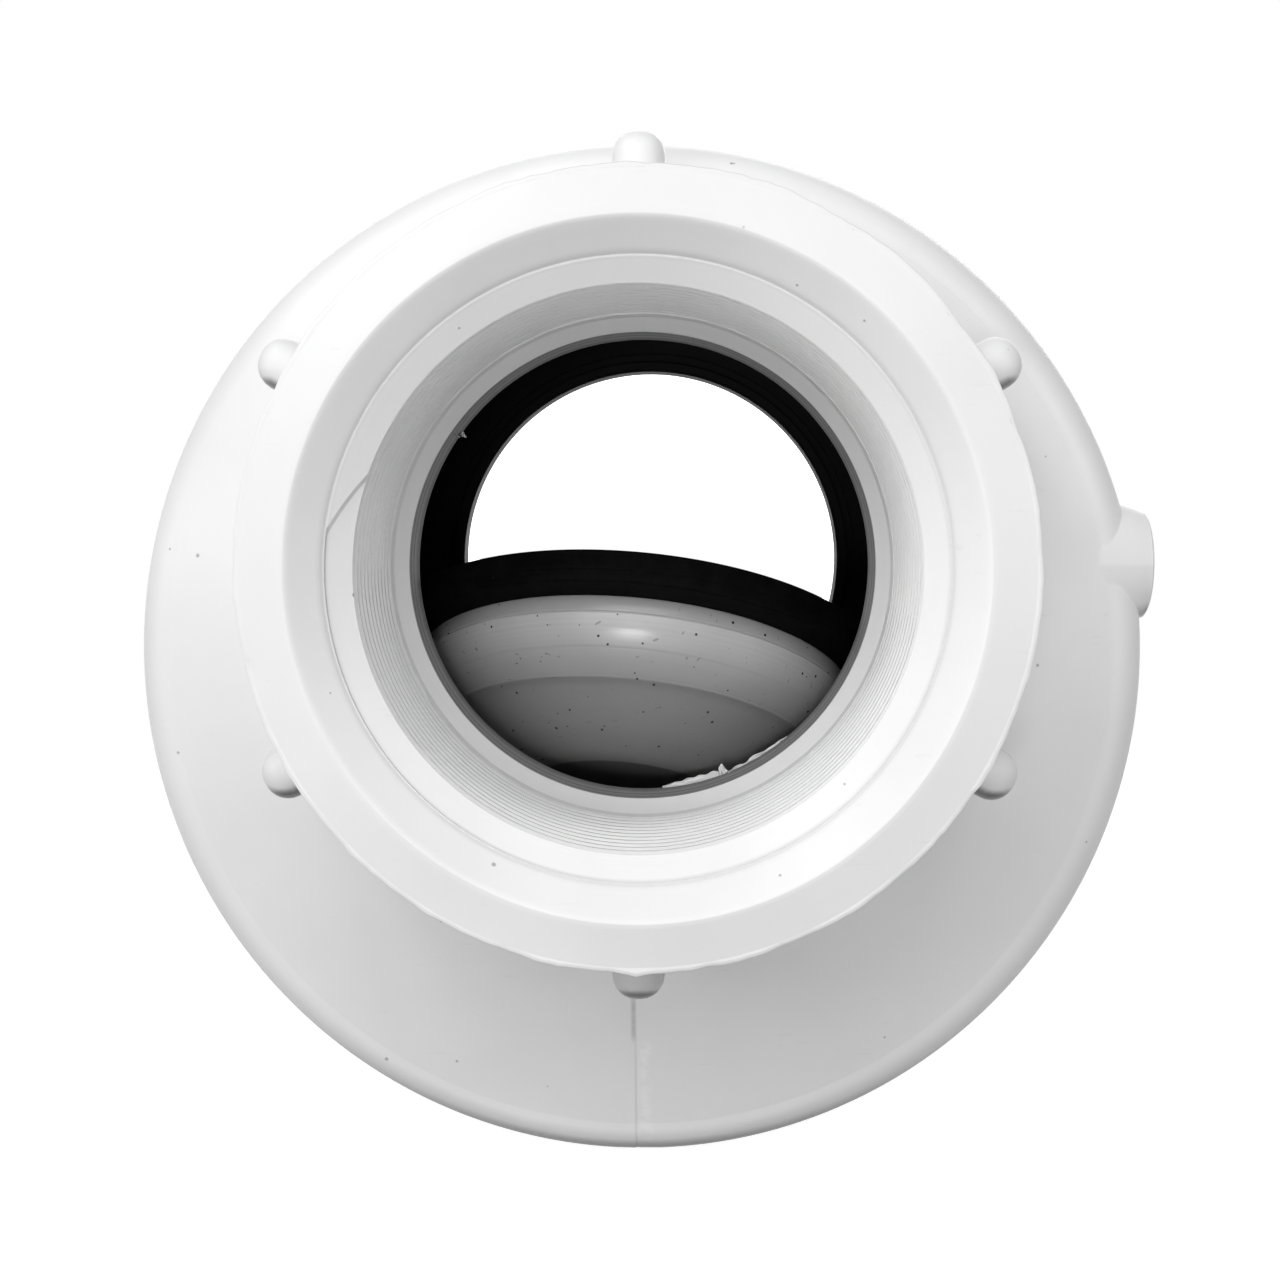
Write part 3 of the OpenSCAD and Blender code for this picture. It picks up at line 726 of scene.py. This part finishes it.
class Half:
    """One half of the body. Way is 1 where the mouth faces -Y and -1 where it faces +Y. End is
    the mouth's place along Y, crease the shoulder's start and full its end at the bell's radius."""

    def __init__(self, sizes, way, end, crease, full):
        self.way, self.end, self.crease, self.full = way, end, crease, full
        self.bell_r = sizes.bell_radius / MM
        self.drop = sizes.bell_drop / MM
        self.side = sizes.bell_side / MM
        self.narrow = sizes.narrowing / sizes.bell_radius
        self.hub_r = sizes.hub_radius / MM
        self.fillet = sizes.root_fillet / MM
        self.ragged = sizes.ragged / MM
        self.flash = sizes.flash / MM
        self.steps = sizes.segments

    def at(self, depth):
        """Place along Y of a depth behind the mouth."""
        return self.end + self.way * depth

    def hub(self, line):
        """From the crest of the mouth over the collar to the hub's wall."""
        corners = [
            (RIM_R, 0.06, 0), (36.0, 0.0, 0.1), (36.45, 0.08, 0.3), (40.75, 1.3, 0.1),
            (41.0, 1.3, 0.1), (41.4, 1.42, 0.15), (41.4, 1.7, 0.15),
            (COLLAR_R, 2.2, 0.2), (COLLAR_R, 8.0, 0.5), (self.hub_r, 9.7, 1.4), (self.hub_r, 13.0, 0),
        ]
        for r, depth in rounded(corners):
            line.add(r, self.at(depth), mark=ON_COLLAR if r > 40.9 and depth < 4 else 0)

    def face(self, line):
        """Root fillet, sloping face, shoulder and barrel of the bell, and the edge at the joint."""
        for i in range(6):
            a = math.radians(15 * i)
            r = self.hub_r + self.fillet * (1 - math.cos(a))
            line.add(r, 0.0, 0.0, self.fillet * (1 - math.sin(a)), ON_FACE)
        start = self.hub_r + self.fillet
        for i in range(31):
            u = min(i / 30, 0.995)
            line.add(start + (CREASE_R - start) * u, 0.0, u, 0.0, ON_FACE)
        for i in range(11):
            a = math.radians(9 * i)
            r = CREASE_R + (self.bell_r - CREASE_R) * math.sin(a)
            line.add(r, self.crease + (self.full - self.crease) * (1 - math.cos(a)), 1.0)
        edge = JOINT_Y - self.way * 0.4
        line.add(self.bell_r, self.full + self.way * 0.6, 1.0)
        line.add(self.bell_r, edge - self.way * 0.5, 1.0)
        line.add(self.bell_r, edge, 1.0)
        line.add(self.bell_r - 0.8, JOINT_Y, 1.0)

    def column(self, v):
        """How many columns of vertices lie between a vertex and the parting plane through the
        top and the bottom, negative on one side of it."""
        half_turn = self.steps / 2
        column = round(math.atan2(v.co.x, v.co.z) / math.tau * self.steps * 2) / 2 % half_turn
        return column if column < 9 else column - half_turn

    def settled(self, line):
        """Turns the outline, then moves the bell off the port axis, its face on its slope, and
        lifts the face to a fillet at each rib."""
        bm = turned(line, self.steps)
        share, lift, mark = (bm.verts.layers.float[name] for name in NOTES)
        for v in bm.verts:
            column = self.column(v)
            on_face = v[mark] == ON_FACE
            outer = on_face or (v[share] == 1.0 and v.co.xz.length > CREASE_R - 0.1)
            v.co.z -= self.drop * v[share]
            if on_face:
                around = math.hypot(v.co.x, v.co.z + self.drop)
                slope = self.crease - self.way * (CREASE_R - around) * FACE_SLOPE
                rise = fillet_height(rib_distance(v.co.x, v.co.z), self.fillet)
                v.co.y = slope - self.way * max(v[lift], rise)
            elif v[mark] == ON_COLLAR:
                away = Vector((v.co.x, 0.0, v.co.z)).normalized()
                v.co += away * self.stray(away)
            elif v[mark] in (ON_LEAD_IN, ON_CONE):
                lead_in_step(v, v[mark] == ON_LEAD_IN)
            v.co.x -= v[share] * (self.side + self.narrow * v.co.x)
            if outer and abs(column) < 2:
                self.seam_step(v, column, on_face)
        for name in NOTES:
            bm.verts.layers.float.remove(bm.verts.layers.float[name])
        return bm

    def stray(self, away):
        """How far the collar's moulded edge strays outwards, with a drip at the bottom."""
        wave = noise.noise(away * 7.0) + 0.7 * noise.noise(away * 26.0 + Vector((3, 0, self.way)))
        beside = away.x - 0.006
        spread = 0.003 if beside < 0 else 0.0001
        drip = math.exp(-(beside**2) / spread) if away.z < 0 else 0.0
        return self.ragged * (wave - 0.3) + 0.4 * drip

    def seam_step(self, v, column, on_face):
        """Draws the columns next to the parting plane together into a fine step."""
        plane_x, pitch = -0.8, 0.32
        side = 1 if v.co.z > -self.drop else -1
        v.co.x = side * pitch * column + plane_x
        rise = {-1: -0.6, 0: -1.5}.get(column, 0.0)
        near_hub = max(0.0, min(1.0, (54 - v.co.xz.length) / 8)) if on_face else 0.0
        height = self.flash * rise * (0.35 + 0.9 * near_hub + 0.5 * noise.noise(v.co * 0.12))
        # On the face the step stands square to the slope of 20 degrees
        v.co += Vector((0, -self.way * 0.94, side * 0.34) if on_face else (0, 0, side)) * height

    def ribs(self):
        """Six grip ribs with full-round tips, sunk in the hub and the bell's face."""
        low, high = sorted((self.at(10.9), self.crease))
        for angle in RIB_ANGLES:
            root = (37.2, low, -RIB_HALF_WIDTH)
            rib = bevelled_box(root, (RIB_TIP_R, high, RIB_HALF_WIDTH), 2.6, 6)
            rotate(rib, -angle, "Y")
            yield rib


def outlet_shell(half):
    """Outlet half: mouth, thread wall, turned bore, chamber and the bell round it."""
    line = Outline()
    half.hub(line)
    half.face(line)
    chamber_r, corner, passage_r = half.bell_r - WALL, 8.0, 28.3
    line.extend([(chamber_r, JOINT_Y), (chamber_r, CHAMBER_Y + corner + 0.4)], 1.0)
    for i in range(7):
        a = math.radians(15 * i)
        r = chamber_r - corner + corner * math.cos(a)
        line.add(r, CHAMBER_Y + corner - corner * math.sin(a), 1.0)
    for u in (0.75, 0.5, 0.25):
        line.add(passage_r + (chamber_r - corner - passage_r) * u, CHAMBER_Y, u)
    # The bore has the fine steps that the turning tool left
    bore = [
        (28.6, CHAMBER_Y, 0), (27.85, 37.3, 0.3), (27.82, 35.6, 0), (27.78, 35.4, 0),
        (27.84, 33.2, 0), (BORE_R, 33.0, 0), (27.83, 31.0, 0), (27.79, 30.8, 0), (27.82, 29.0, 0),
        (BORE_R, BORE_Y + 0.3, 0.05), (27.9, BORE_Y, 0.1),
    ]
    relief = [
        (29.4, 25.6, 0.6), (29.45, RELIEF_Y + 0.1, 0.05),
        (30.5, RELIEF_Y, 0.05), (THREAD_WALL_R, MOUTH_Y + 1.2, 0),
    ]
    line.extend(rounded(bore + relief))
    for i in range(13):
        u = i / 12
        line.add(THREAD_R + (LEAD_IN_R - THREAD_R) * u, MOUTH_Y - 1.82 * u, mark=ON_LEAD_IN)
    step = [(32.22, -4.93), (32.34, -4.9), (32.42, -4.94), (32.55, -5.18)]
    cone = [
        (r, OUTLET_END + (RIM_R - r) * 0.868) for r in (33.1, 33.6, 34.1, 34.6, 35.1, 35.5)
    ]
    line.extend(step + cone, mark=ON_CONE)
    return half.settled(line), *half.ribs()


def inlet_shell(half):
    """Inlet half: spigot in the bell, pocket for the seat carrier, passage and cement socket."""
    line = Outline()
    half.hub(line)
    half.face(line)
    outer_r, pocket_face, passage_r, socket_y = half.bell_r - WALL - 0.06, 108.8, 30.0, 117.0
    line.extend([(outer_r, JOINT_Y), (outer_r, SPIGOT_Y + 1.0), (outer_r - 1.0, SPIGOT_Y)], 1.0)
    line.extend([(SPIGOT_R, SPIGOT_Y), (SPIGOT_R, pocket_face)], 1.0)
    for u in (0.66, 0.33):
        line.add(POCKET_R + (SPIGOT_R - POCKET_R) * u, pocket_face, u)
    inner = [
        (POCKET_R, pocket_face, 0), (POCKET_R, POCKET_Y, 0.2), (passage_r, POCKET_Y, 0.2),
        (passage_r, socket_y, 0.2), (SOCKET_R, socket_y, 0.3), (SOCKET_R, 149.44, 0.3),
        (32.66, 150.5, 0.3), (35.55, 153.95, 0),
    ]
    line.extend(rounded(inner)[:-1])
    return half.settled(line), *half.ribs()


def tapping_boss(flash):
    """Blank boss on the right of the bell, with a crowned end and a parting line."""
    reach, crown_r, r = 64.5, 30.0, 6.85
    foot = [(8.3, 56.0), (8.35, 57.3), (8.2, 58.6), (7.9, 60.0), (7.5, 61.4), (7.05, 62.8)]
    crown_y = reach - crown_r
    half_angle = math.asin((r - 0.3) / crown_r)
    edge = crown_y + crown_r * math.cos(half_angle)
    line = Outline([(0.0, 56.0), *foot, (r, edge - 0.55), (r - 0.08, edge - 0.2)])
    for i in range(9):
        a = half_angle * (1 - i / 8) * 0.985
        line.add(crown_r * math.sin(a), crown_y + crown_r * math.cos(a))
    bm = turned(line, 128, closed=False)
    for v in bm.verts:
        if abs(v.co.z) < 0.1 and v.co.xz.length > 3:
            v.co.x *= 1 + 0.5 * flash / 7
    rotate(bm, -math.pi / 2, "Z")
    bmesh.ops.translate(bm, vec=(0, BOSS_Y, 0), verts=bm.verts)
    return bm


def flow_arrow(sizes):
    """Raised arrow on top of the bell, pointing to the outlet."""
    tip, neck, tail, head_half, shaft_half = 47.2, 62.0, 80.8, 7.3, 3.0
    taper, sunk = 0.08, 0.8
    half_plan = [(0, tip), (head_half, neck), (shaft_half, neck), (shaft_half, tail)]
    plan = half_plan + [(-x, y) for x, y in reversed(half_plan[1:])]
    bm = bmesh.new()
    face = bm.faces.new([bm.verts.new((x, y, 0.0)) for x, y in plan])
    made = bmesh.ops.triangulate(bm, faces=[face])
    edges = list({e for f in made["faces"] for e in f.edges})
    bmesh.ops.subdivide_edges(bm, edges=edges, cuts=7, use_grid_fill=True)
    raised = bmesh.ops.extrude_face_region(bm, geom=bm.faces, use_keep_orig=True)["geom"]
    top = verts_of(raised)
    height = sizes.arrow_height / MM
    bell_r, drop = sizes.bell_radius / MM, sizes.bell_drop / MM
    for v in top:
        v.co += Vector((-v.co.x, 0, 0)) * taper
        v.co.z = math.sqrt((bell_r + height - 0.03) ** 2 - v.co.x**2) - drop
    for v in set(bm.verts) - set(top):
        v.co.z = math.sqrt((bell_r - sunk) ** 2 - v.co.x**2) - drop
    bmesh.ops.translate(bm, vec=(-sizes.bell_side / MM, 0, 0), verts=bm.verts)
    return bm


def thread_ridge(sizes):
    """The outlet thread: a slightly tapered ridge wound to the right, which runs out into the
    relief."""
    crest, pitch = sizes.crest_radius / MM, sizes.pitch / MM
    per_turn = 120
    steps = int(sizes.turns * per_turn)
    start_y, start = MOUTH_Y + 1.0, math.radians(-60)
    flank = [(1.3, 0.75), (0.9, 0.7), (0.06, 0.27), (0.0, 0.2)]
    section = [(out, -along) for out, along in flank] + flank[::-1]
    bm = bmesh.new()
    ring = []
    for out, along in section:
        r = crest + out
        ring.append(bm.verts.new((r * math.sin(start), start_y + along, r * math.cos(start))))
    edges = [bm.edges.new(pair) for pair in zip(ring, ring[1:] + ring[:1])]
    bm.faces.new(ring)
    made = bmesh.ops.spin(
        bm, geom=ring + edges, cent=(0, 0, 0), axis=(0, 1, 0), dvec=(0, pitch / per_turn, 0),
        angle=math.tau * steps / per_turn, steps=steps, use_merge=False,
    )
    bmesh.ops.contextual_create(bm, geom=verts_of(made["geom_last"]))
    for v in bm.verts:
        r = math.hypot(v.co.x, v.co.z)
        tapered = r - 0.15 * v.co.y / 25
        if v.co.y > RELIEF_Y:
            tapered = max(tapered, THREAD_R)
        v.co.x *= tapered / r
        v.co.z *= tapered / r
    return bm


def shavings():
    """Curled white shavings left on the turned bore's edge."""
    # First and last angle in degrees, width in millimetres and seed of each strip
    strips = (
        (-85.0, -66.5, 1.1, 1.0), (-69.8, -67.6, 1.7, 9.0),
        (-67.0, -50.0, 0.5, 4.0), (143.6, 144.8, 0.8, 7.0),
    )
    edge_r, edge_y = 27.9, 37.1
    bm = bmesh.new()
    for first, last, width, seed in strips:
        verts = bmesh.ops.create_grid(bm, x_segments=40, y_segments=6, size=0.5)["verts"]
        for v in verts:
            along, across = v.co.x + 0.5, v.co.y + 0.5
            angle = math.radians(first + (last - first) * along)
            torn = 0.75 + 0.5 * noise.noise(Vector((along * 6 + seed, 0.0, seed)))
            torn *= math.sin(math.pi * min(1.0, along + 0.04)) ** 0.6 if along < 0.98 else 0.2
            reach = width * torn * across
            curl = 0.25 * noise.noise(Vector((along * 5, across * 2, seed)))
            r = edge_r - reach
            y = edge_y - reach * 0.35 + curl
            v.co = Vector((r * math.cos(angle), y, r * math.sin(angle)))
    bmesh.ops.recalc_face_normals(bm, faces=bm.faces)
    bmesh.ops.solidify(bm, geom=bm.faces, thickness=0.12)
    return bm


def flap_place(sizes):
    """Matrix, in millimetres, that takes the closed flap to where it stands open."""
    return (
        Matrix.Rotation(sizes.roll, 4, "Y")
        @ Matrix.Translation((0, HINGE_Y, -HINGE_DROP))
        @ Matrix.Rotation(sizes.open_angle, 4, "X")
        @ Matrix.Translation((0, -HINGE_Y, HINGE_DROP))
    )


def on_flap(points):
    """An outline of (radius, height over the seat plane) points."""
    return Outline([(r, SEAT_Y - height) for r, height in points])


def flap_side(height, lip_r, ridge_r):
    """Radius of the disc's swelling side at a height above its lip."""
    u = height / 8.9
    return lip_r - (lip_r - ridge_r) * u**1.6 + 0.45 * math.sin(math.pi * u)


def flap_plate(lip_r, ridge_r):
    """Turned plate of the flap: hollow back, rim, grooved side, ridge, dome and flat end."""
    back, lip, dome_foot, flat, flat_r = 3.55, 3.8, 12.9, 19.4, 12.2
    hollow = [(0.0, 15.0), (7.0, 15.0), (10.5, 14.8), (21.0, 11.0), (25.2, 8.0), (25.2, back)]
    side_start = (flap_side(0.7, lip_r, ridge_r), lip + 0.7, 0)
    rim = rounded([(26.0, back, 0), (lip_r - 0.05, back, 0.3), side_start], 4)
    # Depths of the two fine grooves at their heights
    grooves = {1.78: 0.0, 1.86: 0.22, 1.92: 0.22, 2.0: 0.0, 5.9: 0.0, 5.95: 0.05, 6.0: 0.0}
    heights = (1.2, 1.5, 2.4, 2.9, 3.4, 3.9, 4.4, 5.0, 5.6, 6.3, 6.9, 7.5, 8.0, 8.4, *grooves)
    side = [
        (flap_side(h, lip_r, ridge_r) - grooves.get(h, 0.0), lip + h) for h in sorted(heights)
    ]
    ridge = [(ridge_r + 0.05, 12.55), (ridge_r - 0.12, 12.72), (ridge_r - 0.5, 12.82)]
    foot_r = ridge_r - 0.6
    dome = []
    for i in range(1, 13):
        s = i / 13
        rise = (flat - dome_foot) * math.sin(math.pi / 2 * s)
        dome.append((foot_r + (flat_r - foot_r) * s, dome_foot + rise))
    top = rounded([(*dome[-1], 0), (flat_r, flat, 0.2), (0.0, flat, 0)])[1:]
    return turned(on_flap(hollow + rim + side + ridge + dome + top), 256, closed=False)


def flap_arm(x):
    """One of the two arms between the plate and the barrel; x is the middle of its width."""
    width = 4.5
    side = (
        (104.7, -26.7), (104.7, -31.8), (101.0, -HINGE_DROP),
        (88.6, -HINGE_DROP), (94.3, -22.8), (96.8, -22.8),
    )
    bm = bmesh.new()
    face = bm.faces.new([bm.verts.new((x - width / 2, y, z)) for y, z in side])
    raised = bmesh.ops.extrude_face_region(bm, geom=[face], use_keep_orig=True)["geom"]
    bmesh.ops.translate(bm, vec=(width, 0, 0), verts=verts_of(raised))
    soften(bm, 0.5, 3)
    return bm


def hinge_barrel():
    """The flap's barrel round the hinge pin."""
    bore_r, r, half = 4.02, 6.5, 13.0
    corners = [
        (bore_r, 0, 0), (bore_r, -half, 0.01), (r, -half, 0.5),
        (r, half, 0.5), (bore_r, half, 0.01), (bore_r, 0.2, 0),
    ]
    bm = turned(Outline(rounded(corners)), 96)
    rotate(bm, math.pi / 2, "Z")
    bmesh.ops.translate(bm, vec=(0, HINGE_Y, -HINGE_DROP), verts=bm.verts)
    return bm


def flap_disc(sizes):
    """Turned disc of the flap with its two arms and the hinge barrel."""
    plate = flap_plate(sizes.lip_radius / MM, sizes.ridge_radius / MM)
    whole = joined(plate, flap_arm(-9.0), flap_arm(9.0), hinge_barrel())
    whole.transform(flap_place(sizes))
    return whole


def flap_seal(sizes):
    """Rubber disc with softened edges and a fine moulded line round its rim."""
    r, hole_r, front, back = sizes.seal_radius / MM, 3.1, 0.2, 3.6
    corners = [
        (hole_r, front, 0), (32.9, front, 0.1), (33.1, -0.5, 0.2), (r, -0.5, 0.4), (r, 1.9, 0.0),
        (r - 0.12, 2.0, 0.0), (r, 2.1, 0.0), (r, back, 0.6), (hole_r, back, 0),
    ]
    bm = turned(on_flap(rounded(corners, 4)), 256)
    bm.transform(flap_place(sizes))
    return bm


class ValvePiece:
    """What the operators share."""

    bl_options = {"REGISTER", "UNDO"}

    @staticmethod
    def finish(name):
        return bpy.data.materials[name]


class VALVE_OT_finishes(ValvePiece, bpy.types.Operator):
    """Make the finishes and put them on the CAD nodes that stay"""

    bl_idname = "valve.finishes"
    bl_label = "Finishes"

    def execute(self, context):
        scene = context.scene
        look = scene.valve_finishes
        bell_drop = scene.valve_shell.bell_drop / MM
        moulded_white("outlet_white", look, bell_drop)
        moulded_white("inlet_white", look, bell_drop)
        moulded_white("plain_white", look)
        turned_flap("turned_white", look, flap_place(scene.valve_flap))
        black_moulding("satin_black", look)
        rubber("seal_rubber", look)
        brushed_steel("pin_steel", look)
        acetal("bush_acetal", look)
        worn = {
            "satin_black": ["seat_carrier"],
            "seal_rubber": ["carrier_o_ring"],
            "plain_white": ["seal_clamp_plate"],
            "bush_acetal": ["hinge_bush_left", "hinge_bush_right"],
            "pin_steel": [
                "carrier_screws", "hinge_pin", "pin_clip_left", "pin_clip_right",
                "clamp_washer", "clamp_screw",
            ],
        }
        for material, nodes in worn.items():
            for node in nodes:
                for slot in frame["nodes"][node].material_slots:
                    slot.material = self.finish(material)
        return {"FINISHED"}


class VALVE_OT_outlet_half(ValvePiece, bpy.types.Operator):
    """Build the outlet half with its bell, hub, ribs, boss and arrow"""

    bl_idname = "valve.outlet_half"
    bl_label = "Outlet half"

    def execute(self, context):
        sizes = context.scene.valve_shell
        half = Half(sizes, way=1, end=OUTLET_END, crease=38.0, full=45.0)
        bm = joined(*outlet_shell(half), tapping_boss(half.flash), flow_arrow(sizes))
        keep(bm, "outlet_shell", "body", self.finish("outlet_white"), ["outlet_body"])
        return {"FINISHED"}


class VALVE_OT_inlet_half(ValvePiece, bpy.types.Operator):
    """Build the inlet half with its spigot, socket, hub and ribs"""

    bl_idname = "valve.inlet_half"
    bl_label = "Inlet half"

    def execute(self, context):
        sizes = context.scene.valve_shell
        half = Half(sizes, way=-1, end=INLET_END, crease=117.0, full=110.0)
        bm = joined(*inlet_shell(half))
        keep(bm, "inlet_shell", "body", self.finish("inlet_white"), ["inlet_body"])
        return {"FINISHED"}


class VALVE_OT_outlet_thread(ValvePiece, bpy.types.Operator):
    """Wind the outlet thread and leave shavings on the turned bore"""

    bl_idname = "valve.outlet_thread"
    bl_label = "Outlet thread"

    def execute(self, context):
        white = self.finish("plain_white")
        bm = thread_ridge(context.scene.valve_thread)
        keep(bm, "outlet_thread", "body", white)
        keep(shavings(), "bore_shavings", "body", white, sharp=60.0)
        return {"FINISHED"}


class VALVE_OT_flap(ValvePiece, bpy.types.Operator):
    """Build the turned flap disc and its rubber seal"""

    bl_idname = "valve.flap"
    bl_label = "Flap"

    def execute(self, context):
        sizes = context.scene.valve_flap
        white, black = self.finish("turned_white"), self.finish("seal_rubber")
        bm = flap_disc(sizes)
        keep(bm, "flap_turned_disc", "flap", white, ["flap_disc"], 30.0)
        bm = flap_seal(sizes)
        keep(bm, "flap_rubber_seal", "flap", black, ["flap_seal"], 30.0)
        return {"FINISHED"}


class VALVE_OT_stage(ValvePiece, bpy.types.Operator):
    """Set the floor, lamps, room light and camera"""

    bl_idname = "valve.stage"
    bl_label = "Stage"

    def execute(self, context):
        scene = context.scene
        stage = scene.valve_stage
        scene.view_settings.view_transform = "Standard"
        for name, place, size, power in LAMPS:
            self.lamp(scene, name, place, size, power * stage.lamp_power)
        self.room(scene, stage.room_light)
        self.floor(scene)
        self.camera(scene, stage)
        return {"FINISHED"}

    @staticmethod
    def lamp(scene, name, place, size, power):
        data = bpy.data.lights.new(name, "AREA")
        data.shape = "ELLIPSE"
        data.size, data.size_y = size
        data.energy = power
        lamp = bpy.data.objects.new(name, data)
        lamp.location = place
        way = Vector(LAMP_AIM) - Vector(place)
        lamp.rotation_euler = way.to_track_quat("-Z", "Y").to_euler()
        scene.collection.objects.link(lamp)

    @staticmethod
    def room(scene, strength):
        """A world that looks white and lights the object at its own strength."""
        world = bpy.data.worlds.new("room")
        scene.world = world
        world.use_nodes = True
        n = Nodes(world.node_tree)
        seen = n.seen_by("Camera", "Glossy", "Transmission")
        level = n.node("MapRange", {}, {"Value": seen, "To Min": strength, "To Max": 1.0})
        light = n.node("Background", {}, {"Color": (1, 1, 1, 1), "Strength": level})
        n.node("OutputWorld", {}, {0: light})

    @staticmethod
    def floor(scene):
        """A pale floor that reads white, keeps a faint shadow and fades out far away."""
        bm = bmesh.new()
        bmesh.ops.create_circle(bm, cap_ends=True, segments=96, radius=4.0)
        bmesh.ops.translate(bm, vec=(0, 0.04, CAD_BOX[0].z - 0.0002), verts=bm.verts)
        mesh = bpy.data.meshes.new("floor")
        bm.to_mesh(mesh)
        bm.free()
        f = Finish("pale_floor")
        plain = f.node("BsdfDiffuse", {}, {"Color": (0.2, 0.2, 0.2, 1)})
        lit = f.node("Emission", {}, {"Color": (1, 1, 1, 1), "Strength": 0.95})
        shade = f.node("BsdfDiffuse", {}, {"Color": (0.3, 0.3, 0.3, 1)})
        shadowed = f.node("AddShader", {}, {0: lit, 1: shade})
        white = f.node("Emission", {}, {"Color": (1, 1, 1, 1), "Strength": 1.0})
        away = f.band(from_axis(f.x, f.y), 220.0, 700.0)
        shown = f.node("MixShader", {}, {0: away, 1: shadowed, 2: white})
        seen = f.seen_by("Camera", "Glossy")
        f.node("OutputMaterial", {}, {0: f.node("MixShader", {}, {0: seen, 1: plain, 2: shown})})
        mesh.materials.append(f.material)
        obj = bpy.data.objects.new("floor", mesh)
        scene.collection.objects.link(obj)
        obj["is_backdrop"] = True

    @staticmethod
    def camera(scene, stage):
        data = bpy.data.cameras.new("camera")
        data.lens = stage.lens
        data.sensor_width = 36.0
        data.clip_start = 0.01
        camera = bpy.data.objects.new("camera", data)
        camera.location = stage.camera_place
        camera.rotation_euler = (math.pi / 2 - CAMERA_DIP, 0, CAMERA_TURN)
        scene.collection.objects.link(camera)
        scene.camera = camera


class VALVE_PT_sidebar(bpy.types.Panel):
    """Lists the valve's operators"""

    bl_label = "Valve"
    bl_idname = "VALVE_PT_sidebar"
    bl_space_type = "VIEW_3D"
    bl_region_type = "UI"
    bl_category = "Valve"

    def draw(self, context):
        for name in STEPS:
            self.layout.operator(name)


STEPS = (
    "valve.stage", "valve.finishes", "valve.outlet_half", "valve.inlet_half",
    "valve.outlet_thread", "valve.flap",
)
GROUPS = {
    "valve_shell": ShellSizes,
    "valve_thread": ThreadSizes,
    "valve_flap": FlapSizes,
    "valve_finishes": Finishes,
    "valve_stage": StageSettings,
}
CLASSES = (
    *GROUPS.values(), VALVE_OT_stage, VALVE_OT_finishes, VALVE_OT_outlet_half,
    VALVE_OT_inlet_half, VALVE_OT_outlet_thread, VALVE_OT_flap, VALVE_PT_sidebar,
)


def register():
    for cls in CLASSES:
        bpy.utils.register_class(cls)
    for name, group in GROUPS.items():
        setattr(bpy.types.Scene, name, PointerProperty(type=group))


def unregister():
    for name in GROUPS:
        delattr(bpy.types.Scene, name)
    for cls in reversed(CLASSES):
        bpy.utils.unregister_class(cls)


def main():
    register()
    for name in STEPS:
        group, operator = name.split(".")
        getattr(getattr(bpy.ops, group), operator)()
    boxes = {"cad": CAD_BOX, "visual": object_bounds()}
    {name: [list(corner) for corner in box] for name, box in boxes.items()}


if __name__ == "__main__":
    main()
